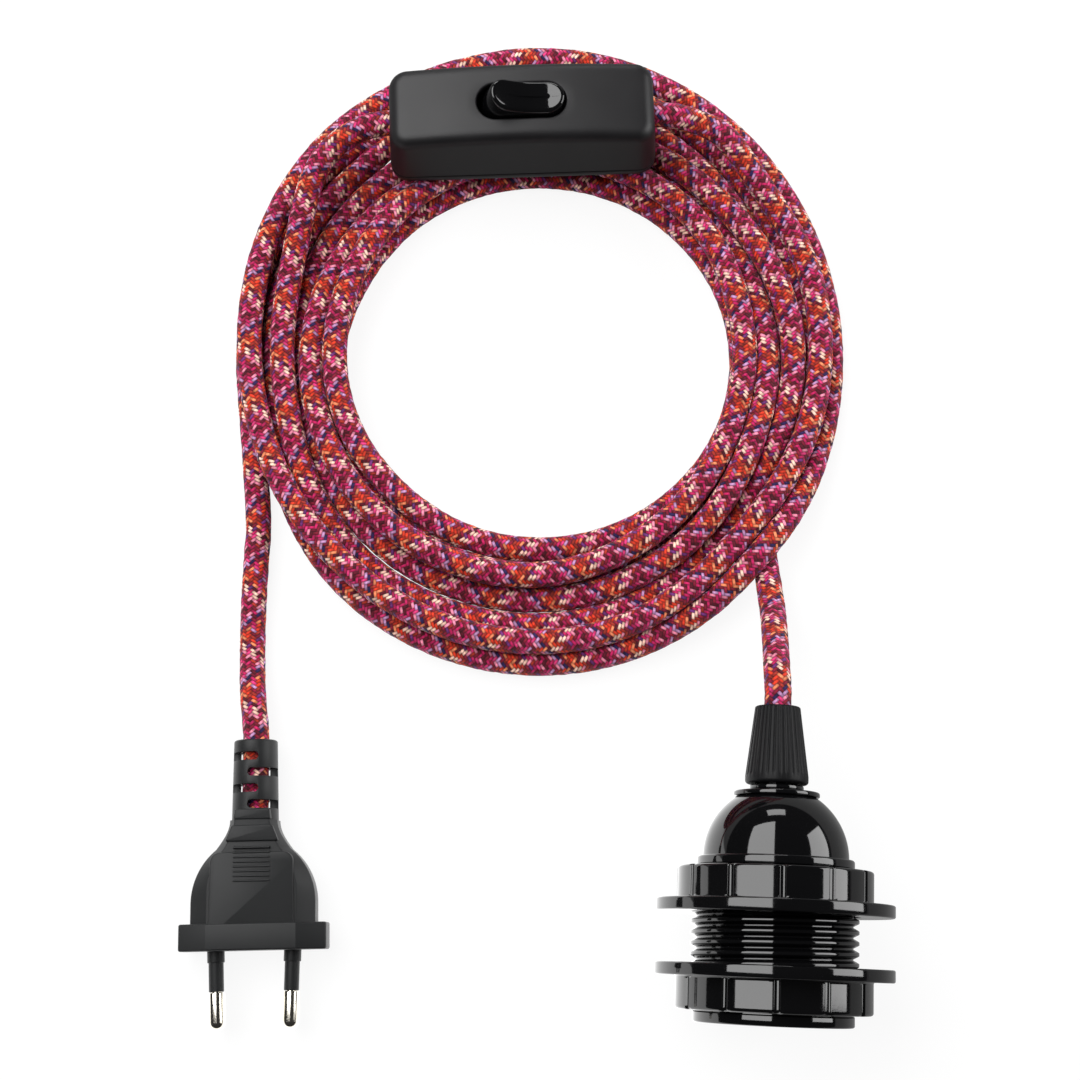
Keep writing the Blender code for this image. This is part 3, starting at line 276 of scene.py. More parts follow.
def coil_points(first, last):
    """The route round the coil between two counts of quarter turns, eight points to the quarter."""
    knots = []
    for station, places in STATIONS.items():
        knots += [(4 * turn + station, *place) for turn, place in enumerate(places)]
    at, out, layer = np.array(sorted(knots)).T
    points = []
    for quarter in np.linspace(first, last, round((last - first) * 8) + 1):
        near = quarter + np.linspace(-0.3, 0.3, 7)
        points.append(in_coil(quarter, np.interp(near, at, out).mean(), np.interp(near, at, layer).mean()))
    return points


def smooth_route(points, spacing):
    """Points read from a smooth curve through a route's own points."""
    route = [Vector(p) for p in points]
    route = [2 * route[0] - route[1]] + route + [2 * route[-1] - route[-2]]
    line = [route[1]]
    for a, b, c, d in zip(route, route[1:], route[2:], route[3:]):
        steps = max(1, round((c - b).length / spacing))
        for i in range(1, steps + 1):
            t = i / steps
            line.append(0.5 * (2 * b + (c - a) * t + (2 * a - 5 * b + 4 * c - d) * t * t
                               + (3 * b - a - 3 * c + d) * t ** 3))
    return np.array(line)


def oval_middle(size):
    """The middle of one oval edge of the coil; the inner edge sits a little lower than the outer one."""
    shift = COIL_INNER_SHIFT if size is COIL_INNER else 0.0
    return np.array(COIL_CENTRE)[:2] + shift * COIL_AXES[1]


def past_oval(points, size, rim):
    """How far out points lie, as a share of the way to one oval edge of the coil drawn in or out by a rim."""
    local = (points[:, :2] - oval_middle(size)) @ COIL_AXES.T
    return np.hypot(local[:, 0] / (size.x + rim), local[:, 1] / (size.y + rim))


def evened(values, owner, free):
    """Values along the strands drawn towards the mean of their neighbours, as far as each is free."""
    middle = values[1:-1] * 0.5 + (values[:-2] + values[2:]) * 0.25
    within = (owner[:-2] == owner[1:-1]) & (owner[1:-1] == owner[2:])
    share = np.where(within, free[1:-1, 0], 0.0)[:, None]
    result = values.copy()
    result[1:-1] += (middle - values[1:-1]) * share
    return result


CORD_REACH = CORD_D * 1.02
NEIGHBOURS = 6
SETTLE_ROUNDS = 260
PAIR_ROUNDS = 13
LAST_EVENINGS = 8
PUSH_GAIN = 1.4
SINK_STEP = 0.00004
UNDER_SWITCH_W = 0.0155
UNDER_SWITCH_GAP = 0.0002
COIL_EDGES = ((COIL_OUTER, -CORD_D / 2, 1.0), (COIL_INNER, CORD_D / 2, -1.0))


def pushed_apart(points, first, second):
    """Points moved off each other wherever two of them are closer than the cord is thick."""
    away = points[first] - points[second]
    distance = np.maximum(np.linalg.norm(away, axis=1), 1e-6)
    push = np.maximum(CORD_REACH - distance, 0.0) * 0.5 / distance
    shift = np.zeros_like(points)
    hits = np.ones(len(points))
    np.add.at(shift, first, away * push[:, None])
    np.add.at(shift, second, -away * push[:, None])
    np.add.at(hits, first, push > 0.0)
    np.add.at(hits, second, push > 0.0)
    return points + shift / np.maximum(hits[:, None] - 1.0, 1.0) * PUSH_GAIN


def kept_under_switch(points, free):
    """Points that pass under the switch kept below its tray, and all points kept on the table."""
    turn = np.array(Matrix.Rotation(-SWITCH_TURN, 3, "Z"))
    under = (points - np.array(SWITCH_PLACE)) @ turn.T
    below = (np.abs(under[:, 0]) < SWITCH_LENGTH / 2 + CORD_D / 2) & (np.abs(under[:, 1]) < UNDER_SWITCH_W)
    below &= free[:, 0] > 0.5
    ceiling = SWITCH_PLACE.z - CORD_D / 2 - UNDER_SWITCH_GAP
    points[below, 2] = np.minimum(points[below, 2], ceiling)
    points[:, 2] = np.maximum(points[:, 2], CORD_REST_H)
    return points


def kept_in_coil(points, in_ring):
    """Points of the coil drawn back to the oval edge that they have passed."""
    for size, rim, sign in COIL_EDGES:
        past = past_oval(points, size, rim)
        astray = in_ring & (sign * past > sign)
        points[astray, :2] += (oval_middle(size) - points[astray, :2]) * (1.0 - 1.0 / past[astray, None])
    return points


def settled(strands, held):
    """Push crossing strands apart and let them sink, with smooth moves, until none lies in another."""
    start = np.concatenate(strands)
    owner = np.concatenate([np.full(len(s), k) for k, s in enumerate(strands)])
    free = 1.0 - np.concatenate(held)[:, None]
    order = np.arange(len(start))
    apart = (np.abs(order[:, None] - order[None, :]) > NEIGHBOURS) | (owner[:, None] != owner[None, :])
    apart &= order[:, None] < order[None, :]
    in_ring = (past_oval(start, COIL_OUTER, -CORD_D / 2) < 1.03) & (free[:, 0] > 0.9)
    in_ring &= past_oval(start, COIL_INNER, CORD_D / 2) > 0.97
    points = start.copy()
    for step in range(SETTLE_ROUNDS):
        if step % PAIR_ROUNDS == 0:
            gap = np.linalg.norm(points[:, None, :] - points[None, :, :], axis=2)
            first, second = np.nonzero((gap < 2.0 * CORD_D) & apart)
        points = pushed_apart(points, first, second)
        points[:, 2] -= SINK_STEP
        points = kept_under_switch(points, free)
        points = kept_in_coil(points, in_ring)
        move = (points - start) * free
        for _ in range(3):
            move = evened(move, owner, free)
        points = start + move
    for _ in range(LAST_EVENINGS):
        points = evened(points, owner, free)
    return [points[owner == k] for k in range(len(strands))]


plug_route = [
    on_plug_axis(0.0318), on_plug_axis(0.0459), on_plug_axis(0.0539),
    (-0.1309, 0.0377, 0.0058), (-0.1323, 0.0507, CORD_REST_H), (-0.1328, 0.0627, CORD_REST_H),
    (-0.1330, 0.0746, CORD_REST_H), (-0.1333, 0.0857, CORD_REST_H),
]
holder_route = [
    on_holder_axis(0.0637), on_holder_axis(0.0730), on_holder_axis(0.0790),
    (-0.0001, 0.0482, 0.0255), (0.0002, 0.0570, 0.0180), (0.0003, 0.0642, 0.0115), (-0.0003, 0.0712, 0.0078),
    (-0.0013, 0.0786, 0.0052), (-0.0021, 0.0841, 0.0040), (-0.0025, 0.0897, CORD_REST_H),
    (-0.0019, 0.1004, CORD_REST_H), (0.0006, 0.1114, CORD_REST_H),
]
inside_end = ((-0.0046, 0.0, 0.0), (0.0015, 0.0, 0.0))
left_way = ((0.0070, 0.0005, -0.0010), (0.0120, 0.0014, -0.0031), (0.0170, 0.0029, -0.0069),
            (0.0212, 0.0048, -0.0119))
right_way = ((0.0070, 0.0010, -0.0005), (0.0130, 0.0030, -0.0020), (0.0190, 0.0042, -0.0045))
into_left = [at_switch_end(-1, *step) for step in (inside_end + left_way)[::-1]]
out_of_right = [at_switch_end(1, *step) for step in inside_end + right_way]
SWITCH_QUARTER = 4 * 5
ENTRY_QUARTER = -0.10
LEFT_END_QUARTER = SWITCH_QUARTER + 0.15
RIGHT_END_QUARTER = SWITCH_QUARTER + 1.70
EXIT_QUARTER = 4 * 7 + 1.85
SETTLE_STEP = 0.003
HELD_FADE = 0.03
PLUG_HELD = (0.075, 0.008)
HOLDER_HELD = (0.008, 0.045)


def held_ends(line, first, last):
    """1 along the two stretches that keep their route, fading to 0 over the next few centimetres."""
    steps = np.linalg.norm(np.diff(line, axis=0), axis=1)
    along = np.concatenate([[0.0], np.cumsum(steps)])
    begin = np.clip(1.0 - (along - first) / HELD_FADE, 0.0, 1.0)
    end = np.clip(1.0 - (along[-1] - along - last) / HELD_FADE, 0.0, 1.0)
    return np.maximum(begin, end)


plug_controls = plug_route + coil_points(ENTRY_QUARTER, LEFT_END_QUARTER) + into_left
holder_controls = out_of_right + coil_points(RIGHT_END_QUARTER, EXIT_QUARTER) + holder_route[::-1]
lines = [smooth_route(plug_controls, SETTLE_STEP), smooth_route(holder_controls, SETTLE_STEP)]
lines = settled(lines, [held_ends(lines[0], *PLUG_HELD), held_ends(lines[1], *HOLDER_HELD)])
plug_line = smooth_route(lines[0][::-1], CORD_RING_STEP)
holder_line = smooth_route(lines[1][::-1], CORD_RING_STEP)


def cord_sides(tangents):
    """Two directions square to a cord at each point, carried along it without a twist."""
    side = np.cross(tangents[0], (0.0, 0.0, 1.0))
    side /= np.linalg.norm(side)
    sides = []
    for tangent in tangents:
        side = side - tangent * side.dot(tangent)
        side = side / np.linalg.norm(side)
        sides.append(side)
    return np.array(sides), np.cross(tangents, sides)


def braided_tube(name, line, seed):
    """A closed round tube along a line, a little lumpy, with its own map: once round, and metres along."""
    tangents = np.gradient(line, axis=0)
    tangents /= np.linalg.norm(tangents, axis=1)[:, None]
    along = np.concatenate([[0.0], np.cumsum(np.linalg.norm(np.diff(line, axis=0), axis=1))])
    sides, others = cord_sides(tangents)
    lumps = np.random.default_rng(seed).normal(0.0, 1.0, (len(line), CORD_SIDES))
    lumps = (lumps + np.roll(lumps, 1, 0) + np.roll(lumps, 1, 1) + np.roll(lumps, (1, 1), (0, 1))) / 2.0
    radius = CORD_D / 2 - CORD_LUMP + CORD_LUMP * np.clip(lumps, -1.0, 1.0)
    angles = np.arange(CORD_SIDES)[:, None] * math.tau / CORD_SIDES
    ring = sides[:, None, :] * np.cos(angles) + others[:, None, :] * np.sin(angles)
    verts = (line[:, None, :] + ring * radius[:, :, None]).reshape(-1, 3)

    rows, count = len(line), CORD_SIDES
    low = np.arange(rows - 1)[:, None] * count
    here = np.arange(count)[None, :]
    there = (here + 1) % count
    corners = (low + here, low + there, low + count + there, low + count + here)
    faces = [tuple(face) for face in np.stack(corners, axis=2).reshape(-1, 4)]
    caps = [tuple(range(count - 1, -1, -1)), tuple(range((rows - 1) * count, rows * count))]
    mesh = bpy.data.meshes.new(name)
    mesh.from_pydata(verts.tolist(), [], faces + caps)
    mesh.update()

    shape = (rows - 1, count)
    start, end = along[:-1, None], along[1:, None]
    around = np.stack([np.broadcast_to(k, shape) for k in (here, here + 1, here + 1, here)], axis=2)
    metres = np.stack([np.broadcast_to(k, shape) for k in (start, start, end, end)], axis=2)
    wall = np.stack([around / count, metres], axis=3).reshape(-1, 2)
    cover = np.concatenate([wall, np.zeros((2 * count, 2))])
    layer = mesh.uv_layers.new(name="cover")
    layer.data.foreach_set("uv", cover.astype(np.float32).ravel())
    mesh.shade_smooth()
    tube = bpy.data.objects.new(name, mesh)
    scene.collection.objects.link(tube)
    return tube, along[-1]


def linear(code):
    """A colour written as six hexadecimal digits, in the renderer's own scale."""
    parts = [int(code[i:i + 2], 16) / 255 for i in (0, 2, 4)]
    return (*[p / 12.92 if p <= 0.04045 else ((p + 0.055) / 1.055) ** 2.4 for p in parts], 1.0)


YARNS = {
    "maroon": "82122E", "wine": "56081E", "magenta": "B41854", "fuchsia": "D03470", "pink": "E6849E",
    "blush": "F8C8B4", "peach": "E8845A", "ember": "D0341C", "brick": "9A2A20", "violet": "6A2A6E",
    "lilac": "BA88B6", "navy": "28184C",
}
LEANING_LEFT = ("blush", "blush", "pink", "brick", "maroon", "magenta", "wine", "maroon",
                "magenta", "fuchsia", "lilac", "maroon", "brick", "ember", "peach", "wine")
LEANING_RIGHT = ("pink", "lilac", "navy", "maroon", "peach", "ember", "ember", "brick",
                 "maroon", "violet", "magenta", "fuchsia", "pink", "wine", "magenta", "maroon")
CARRIERS = len(LEANING_LEFT)
LAY_LENGTH = 0.0155
FIBRES = 4
FIBRE_RISE = 0.10
# Painted shade on the braid: the colour's level in the gaps between yarns, and how much it rises towards a
# yarn's crown
GAP_SHADE_LEVEL = 0.14
CROWN_SHADE_RISE = 0.92
YARN_LEVEL = 0.62
YARN_SPREAD = 0.70


def shader_group(name, inputs, outputs):
    """An empty shader node group with its sockets."""
    group = bpy.data.node_groups.new(name, "ShaderNodeTree")
    for label, kind, value in inputs:
        socket = group.interface.new_socket(name=label, in_out="INPUT", socket_type=kind)
        if value is not None:
            socket.default_value = value
    for label, kind in outputs:
        group.interface.new_socket(name=label, in_out="OUTPUT", socket_type=kind)
    wires = Wiring(group)
    return group, wires, wires.node("NodeGroupInput").outputs, wires.node("NodeGroupOutput").inputs


def yarn_bands(w, position, names):
    """A colour ramp with one even step for each yarn."""
    made = w.node("ShaderNodeValToRGB")
    ramp = made.color_ramp
    ramp.interpolation = "CONSTANT"
    ramp.elements[0].color = linear(YARNS[names[0]])
    ramp.elements.remove(ramp.elements[1])
    for i, name in enumerate(names[1:], 1):
        stop = ramp.elements.new(i / len(names))
        stop.color = linear(YARNS[name])
    w.put(made.inputs["Fac"], position)
    return made.outputs["Color"]


def braid_group():
    """Colour, darkened with painted shade where the braid is low, and height of a two-over-two braid from a
    map that runs once round and in metres along.
    """
    group, w, given, result = shader_group(
        "braid",
        [("Map", "NodeSocketVector", None), ("Carriers", "NodeSocketFloat", CARRIERS),
         ("Lay", "NodeSocketFloat", LAY_LENGTH)],
        [("Colour", "NodeSocketColor"), ("Height", "NodeSocketFloat")],
    )
    split = w.node("ShaderNodeSeparateXYZ")
    w.put(split.inputs[0], given["Map"])
    around, along = split.outputs[0], w.maths("DIVIDE", split.outputs[1], given["Lay"])
    left = w.maths("MULTIPLY", w.maths("ADD", along, around), given["Carriers"])
    right = w.maths("MULTIPLY", w.maths("SUBTRACT", along, around), given["Carriers"])
    left_index, right_index = w.maths("FLOOR", left), w.maths("FLOOR", right)
    left_part, right_part = w.maths("FRACT", left), w.maths("FRACT", right)
    cell = w.maths("FLOORED_MODULO", w.maths("SUBTRACT", left_index, right_index), 4.0)
    over = w.maths("LESS_THAN", cell, 1.5)

    def shade(index, names):
        spot = w.maths("FLOORED_MODULO", index, given["Carriers"])
        return yarn_bands(w, w.maths("DIVIDE", w.maths("ADD", spot, 0.5), given["Carriers"]), names)

    def choose(if_left_over, if_right_over):
        picked = w.maths("MULTIPLY", over, if_left_over)
        return w.maths("ADD", picked, w.maths("MULTIPLY", w.maths("SUBTRACT", 1.0, over), if_right_over))

    colour = w.blend(over, shade(right_index, LEANING_RIGHT), shade(left_index, LEANING_LEFT))
    width = choose(left_part, right_part)
    run_left = w.maths("ADD", w.maths("SUBTRACT", 1.0, cell), right_part)
    run_right = w.maths("ADD", w.maths("SUBTRACT", cell, 2.0), left_part)
    arch = w.maths("SINE", w.maths("MULTIPLY", choose(run_left, run_right), math.pi / 2))
    crown = w.maths("POWER", w.maths("SINE", w.maths("MULTIPLY", width, math.pi)), 0.6)
    height = w.maths("MULTIPLY", crown, w.maths("ADD", w.maths("MULTIPLY", arch, 0.6), 0.4))
    fibres = w.maths("SINE", w.maths("MULTIPLY", width, FIBRES * math.tau))
    code = w.node("ShaderNodeCombineXYZ")
    w.put(code.inputs[0], left_index)
    w.put(code.inputs[1], right_index)
    chance = w.node("ShaderNodeTexWhiteNoise", noise_dimensions="3D")
    w.put(chance.inputs["Vector"], code.outputs[0])
    lift = w.maths("ADD", w.maths("MULTIPLY", chance.outputs["Value"], YARN_SPREAD), YARN_LEVEL)
    # Painted shade: each yarn's random tone is darkened where the braid is low, at the yarn's edges and where
    # it dives under
    deep = w.maths("ADD", w.maths("MULTIPLY", height, CROWN_SHADE_RISE), GAP_SHADE_LEVEL)
    level = w.maths("MULTIPLY", lift, deep)
    tone_and_shade_grey = w.node("ShaderNodeCombineColor")
    for socket in tone_and_shade_grey.inputs:
        w.put(socket, level)
    w.put(result["Colour"], w.blend(1.0, colour, tone_and_shade_grey.outputs[0], "MULTIPLY"))
    w.put(result["Height"], w.maths("ADD", height, w.maths("MULTIPLY", fibres, FIBRE_RISE)))
    return group


def moulded_marks():
    """What moulding leaves on a plastic: a slow change of tone, and a fine waviness or grain."""
    group, w, given, result = shader_group(
        "moulded_marks",
        [("Place", "NodeSocketVector", None), ("Tone Scale", "NodeSocketFloat", 60.0),
         ("Grain Scale", "NodeSocketFloat", 900.0)],
        [("Tone", "NodeSocketFloat"), ("Height", "NodeSocketFloat")],
    )
    slow = w.node("ShaderNodeTexNoise")
    w.put(slow.inputs["Vector"], given["Place"])
    w.put(slow.inputs["Scale"], given["Tone Scale"])
    slow.inputs["Detail"].default_value = 3.0
    fine = w.node("ShaderNodeTexNoise")
    w.put(fine.inputs["Vector"], given["Place"])
    w.put(fine.inputs["Scale"], given["Grain Scale"])
    fine.inputs["Detail"].default_value = 4.0
    w.put(result["Tone"], slow.outputs["Fac"])
    w.put(result["Height"], fine.outputs["Fac"])
    return group


MARKS = moulded_marks()


def plain_finish(name, roughness, metallic=0.0):
    """A material with a Principled shader, and the wiring of its tree."""
    finish = bpy.data.materials.new(name)
    finish.use_nodes = True
    shader = finish.node_tree.nodes["Principled BSDF"]
    shader.inputs["Roughness"].default_value = roughness
    shader.inputs["Metallic"].default_value = metallic
    return finish, shader, Wiring(finish.node_tree)


def moulded_finish(name, dark, pale, smooth, rough, grain, depth, specular=0.5):
    """A moulded plastic: its darkest and palest tone, its smoothest and roughest patch, and its grain."""
    finish, shader, w = plain_finish(name, rough)
    shader.inputs["Specular IOR Level"].default_value = specular
    place = w.node("ShaderNodeTexCoord")
    marks = w.node("ShaderNodeGroup", node_tree=MARKS)
    w.put(marks.inputs["Place"], place.outputs["Object"])
    marks.inputs["Grain Scale"].default_value = grain
    w.put(shader.inputs["Base Color"], w.blend(marks.outputs["Tone"], linear(dark), linear(pale)))
    span = w.maths("MULTIPLY", marks.outputs["Tone"], rough - smooth)
    w.put(shader.inputs["Roughness"], w.maths("ADD", span, smooth))
    bump = w.node("ShaderNodeBump")
    bump.inputs["Strength"].default_value = 0.5
    bump.inputs["Distance"].default_value = depth
    w.put(bump.inputs["Height"], marks.outputs["Height"])
    w.put(shader.inputs["Normal"], bump.outputs[0])
    return finish


def cord_finish():
    finish, shader, w = plain_finish("braided_cover", 0.72)
    shader.inputs["Sheen Weight"].default_value = 0.08
    shader.inputs["Sheen Roughness"].default_value = 0.5
    shader.inputs["Specular IOR Level"].default_value = 0.20
    cover = w.node("ShaderNodeUVMap", uv_map="cover")
    braid = w.node("ShaderNodeGroup", node_tree=braid_group())
    w.put(braid.inputs["Map"], cover.outputs[0])
    bump = w.node("ShaderNodeBump")
    bump.inputs["Strength"].default_value = 0.7
    bump.inputs["Distance"].default_value = 0.00022
    w.put(bump.inputs["Height"], braid.outputs["Height"])
    w.put(shader.inputs["Base Color"], braid.outputs["Colour"])
    w.put(shader.inputs["Normal"], bump.outputs[0])
    return finish


def fitted(piece, body):
    """Hand a finished piece over to the body that it rides on."""
    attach(piece, body)


cord_material = cord_finish()
plug_cord, plug_cord_length = braided_tube("plug_cord", plug_line, 3)
holder_cord, holder_cord_length = braided_tube("holder_cord", holder_line, 4)
for cord in (plug_cord, holder_cord):
    cord.data.materials.append(cord_material)
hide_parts("cord_coil", "plug_lead", "switch_lead_left")
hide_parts("holder_lead", "switch_lead_right")
for cord in (plug_cord, holder_cord):
    fitted(cord, "body")


# Threaded skirt. The black phenolic moulding round the lamp's socket: a plain wall, a coarse helical thread
# outside for the shade rings, a smooth rim at the mouth and a neck that goes up into the cap.
SKIRT_H = 0.0361
THREAD_R = 0.0199
THREAD_ROOT_R = 0.0185
THREAD_PITCH = 0.0025
THREAD_FROM = 0.0044
THREAD_TURNS = 12.4
RIDGE_ROOT_W = 0.0023
RIDGE_CREST_W = 0.0008
RIDGE_CREST_R = 0.00032
RIDGE_FOOT = 0.0004
MOUTH_RIM_R = 0.01895
MOUTH_RIM_H = 0.0026
SKIRT_BORE_R = 0.0156
SKIRT_SHOULDER_T = 0.0035
NECK_R = 0.0140
NECK_BORE_R = 0.0124
NECK_H = 0.0069
GAP = 0.0003
WELD = 0.000002

PHENOLIC = moulded_finish("polished_phenolic", "040405", "0B0B0C", 0.035, 0.085, 260.0, 0.000010)
holder_place = Matrix.Translation(HOLDER_AXIS) @ Matrix.Rotation(-math.pi / 2, 4, "X")


def softened(corners, steps=4):
    """A closed outline of (across, up, radius) corners, each rounded off to its own radius."""
    points = []
    for i, (across, up, radius) in enumerate(corners):
        here = Vector((across, up))
        if radius == 0.0:
            points.append((across, up))
            continue
        back = (Vector(corners[i - 1][:2]) - here).normalized()
        ahead = (Vector(corners[(i + 1) % len(corners)][:2]) - here).normalized()
        half = back.angle(ahead) / 2
        centre = here + (back + ahead).normalized() * (radius / math.sin(half))
        start = here + back * (radius / math.tan(half)) - centre
        end = here + ahead * (radius / math.tan(half)) - centre
        first = math.atan2(start.y, start.x)
        sweep = (math.atan2(end.y, end.x) - first + math.pi) % math.tau - math.pi
        for k in range(steps + 1):
            angle = first + sweep * k / steps
            points.append((centre.x + radius * math.cos(angle), centre.y + radius * math.sin(angle)))
    return points


def skinned(rings, ends="capped"):
    """Join rings of points into a skin whose ends are capped, joined to each other, or left open."""
    bm = bmesh.new()
    rows = [[bm.verts.new(point) for point in ring] for ring in rings]
    pairs = list(zip(rows, rows[1:]))
    if ends == "joined":
        pairs.append((rows[-1], rows[0]))
    for low, high in pairs:
        for i in range(len(low)):
            j = (i + 1) % len(low)
            bm.faces.new((low[i], low[j], high[j], high[i]))
    if ends == "capped":
        bm.faces.new(rows[0])
        bm.faces.new(rows[-1])
    return bm


def turned(outline, sides=160):
    """Spin a closed outline of (radius, height) points round Z; points on the axis are welded there."""
    rings = []
    for k in range(sides):
        angle = math.tau * k / sides
        rings.append([Vector((r * math.cos(angle), r * math.sin(angle), h)) for r, h in outline])
    return skinned(rings, "joined")


def piece(name, bm, finish, place, sharp=38.0):
    """Weld a mesh, face it outwards, shade it and put it in place as an object of its own."""
    bmesh.ops.remove_doubles(bm, verts=bm.verts, dist=WELD)
    bmesh.ops.dissolve_degenerate(bm, edges=bm.edges, dist=WELD)
    bmesh.ops.recalc_face_normals(bm, faces=bm.faces)
    mesh = bpy.data.meshes.new(name)
    bm.to_mesh(mesh)
    bm.free()
    mesh.transform(place)
    mesh.shade_smooth()
    mesh.set_sharp_from_angle(angle=math.radians(sharp))
    mesh.materials.clear()
    mesh.materials.append(finish)
    made = bpy.data.objects.new(name, mesh)
    scene.collection.objects.link(made)
    return made


def growth_tree(name, inputs):
    """An empty Geometry Nodes tree with named inputs for its sizes."""
    tree = bpy.data.node_groups.new(name, "GeometryNodeTree")
    for label, kind in [("Geometry", "Geometry")] + inputs:
        tree.interface.new_socket(name=label, in_out="INPUT", socket_type="NodeSocket" + kind)
    tree.interface.new_socket(name="Geometry", in_out="OUTPUT", socket_type="NodeSocketGeometry")
    w = Wiring(tree)
    return tree, w, w.node("NodeGroupInput").outputs, w.node("NodeGroupOutput").inputs["Geometry"]


def end_tree(w, shape, finish, out):
    """End a tree with real geometry in place of instances, welded seams and its material."""
    real = w.node("GeometryNodeRealizeInstances")
    w.put(real.inputs["Geometry"], shape)
    weld = w.node("GeometryNodeMergeByDistance")
    w.put(weld.inputs["Geometry"], real.outputs["Geometry"])
    weld.inputs["Distance"].default_value = WELD
    coat = w.node("GeometryNodeSetMaterial")
    w.put(coat.inputs["Geometry"], weld.outputs["Geometry"])
    w.put(coat.inputs["Material"], finish)
    w.put(out, coat.outputs["Geometry"])


def grown(source, tree, settings):
    """Run a tree over a mesh and give its result as a shape to build on."""
    seed = bpy.data.objects.new("seed", source)
    scene.collection.objects.link(seed)
    step = seed.modifiers.new(tree.name, "NODES")
    step.node_group = tree
    for item in tree.interface.items_tree:
        if item.in_out == "INPUT" and item.name in settings:
            step[item.identifier] = settings[item.name]
    graph = bpy.context.evaluated_depsgraph_get()
    result = bpy.data.meshes.new_from_object(seed.evaluated_get(graph))
    seed.modifiers.remove(step)
    bpy.data.objects.remove(seed)
    bm = bmesh.new()
    bm.from_mesh(result)
    bpy.data.meshes.remove(result)
    return bm


def flat_outline(points):
    """A closed outline as a mesh of edges, for a tree to sweep."""
    mesh = bpy.data.meshes.new("outline")
    ring = [(i, (i + 1) % len(points)) for i in range(len(points))]
    mesh.from_pydata([(x, y, 0.0) for x, y in points], ring, [])
    return mesh


def helix_tree():
    """Sweep an outline along a helix, shrinking to nothing over the first and last part of a turn."""
    tree, w, given, out = growth_tree("helix", [
        ("Turns", "Float"), ("Pitch", "Float"), ("Radius", "Float"), ("Steps", "Int"), ("Fade", "Float"),
        ("Finish", "Material"),
    ])
    path = w.node("GeometryNodeCurveSpiral")
    w.put(path.inputs["Resolution"], given["Steps"])
    w.put(path.inputs["Rotations"], given["Turns"])
    w.put(path.inputs["Start Radius"], given["Radius"])
    w.put(path.inputs["End Radius"], given["Radius"])
    w.put(path.inputs["Height"], w.maths("MULTIPLY", given["Turns"], given["Pitch"]))
    path.inputs["Reverse"].default_value = True
    upright = w.node("GeometryNodeSetCurveNormal", mode="Z_UP")
    w.put(upright.inputs["Curve"], path.outputs["Curve"])
    share = w.node("GeometryNodeSplineParameter").outputs["Factor"]
    turn = w.maths("MULTIPLY", share, given["Turns"])
    left = w.maths("SUBTRACT", given["Turns"], turn)
    fade = w.maths("DIVIDE", w.maths("MINIMUM", turn, left), given["Fade"])
    fade = w.maths("MAXIMUM", w.maths("MINIMUM", fade, 1.0), 0.02)
    size = w.node("GeometryNodeSetCurveRadius")
    w.put(size.inputs["Curve"], upright.outputs["Curve"])
    w.put(size.inputs["Radius"], fade)
    outline = w.node("GeometryNodeMeshToCurve")
    w.put(outline.inputs[0], given["Geometry"])
    sweep = w.node("GeometryNodeCurveToMesh")
    w.put(sweep.inputs["Curve"], size.outputs["Curve"])
    w.put(sweep.inputs["Profile Curve"], outline.outputs["Curve"])
    w.put(sweep.inputs["Scale"], fade)
    sweep.inputs["Fill Caps"].default_value = True
    end_tree(w, sweep.outputs["Mesh"], given["Finish"], out)
    return tree


HELIX = helix_tree()


def ridge_outline():
    """The thread's rounded ridge: its root line lies on the axis's side, its crest points outwards."""
    root, crest, height = RIDGE_ROOT_W / 2, RIDGE_CREST_W / 2, THREAD_R - THREAD_ROOT_R
    return softened([
        (-RIDGE_FOOT, -root, 0.0), (0.0, -root, 0.0), (height, -crest, RIDGE_CREST_R),
        (height, crest, RIDGE_CREST_R), (0.0, root, 0.0), (-RIDGE_FOOT, root, 0.0),
    ], 3)


def gathered(*shapes):
    """Put several shapes in one mesh."""
    whole = bmesh.new()
    for shape in shapes:
        mesh = bpy.data.meshes.new("part_of_group")
        bmesh.ops.recalc_face_normals(shape, faces=shape.faces)
        shape.to_mesh(mesh)
        shape.free()
        whole.from_mesh(mesh)
        bpy.data.meshes.remove(mesh)
    return whole


def moved(bm, matrix):
    bmesh.ops.transform(bm, matrix=matrix, verts=bm.verts)
    return bm


def build_skirt():
    wall = [
        (THREAD_ROOT_R, SKIRT_H, 0.0002), (NECK_R, SKIRT_H, 0.0),
        (NECK_R, SKIRT_H + NECK_H, 0.0003), (NECK_BORE_R, SKIRT_H + NECK_H, 0.0003),
        (NECK_BORE_R, SKIRT_H - SKIRT_SHOULDER_T, 0.0), (SKIRT_BORE_R, SKIRT_H - SKIRT_SHOULDER_T, 0.0003),
        (SKIRT_BORE_R, 0.0, 0.0005), (MOUTH_RIM_R, 0.0, 0.0005),
        (MOUTH_RIM_R, MOUTH_RIM_H, 0.0003), (THREAD_ROOT_R, MOUTH_RIM_H, 0.0),
    ]
    ridge = grown(flat_outline(ridge_outline()), HELIX, {
        "Turns": THREAD_TURNS, "Pitch": THREAD_PITCH, "Radius": THREAD_ROOT_R, "Steps": 96, "Fade": 0.5,
        "Finish": PHENOLIC,
    })
    ridge = moved(ridge, Matrix.Translation((0.0, 0.0, THREAD_FROM)))
    skirt = piece("threaded_wall", gathered(turned(softened(wall)), ridge), PHENOLIC, holder_place)
    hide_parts("threaded_skirt")
    fitted(skirt, "body")


build_skirt()


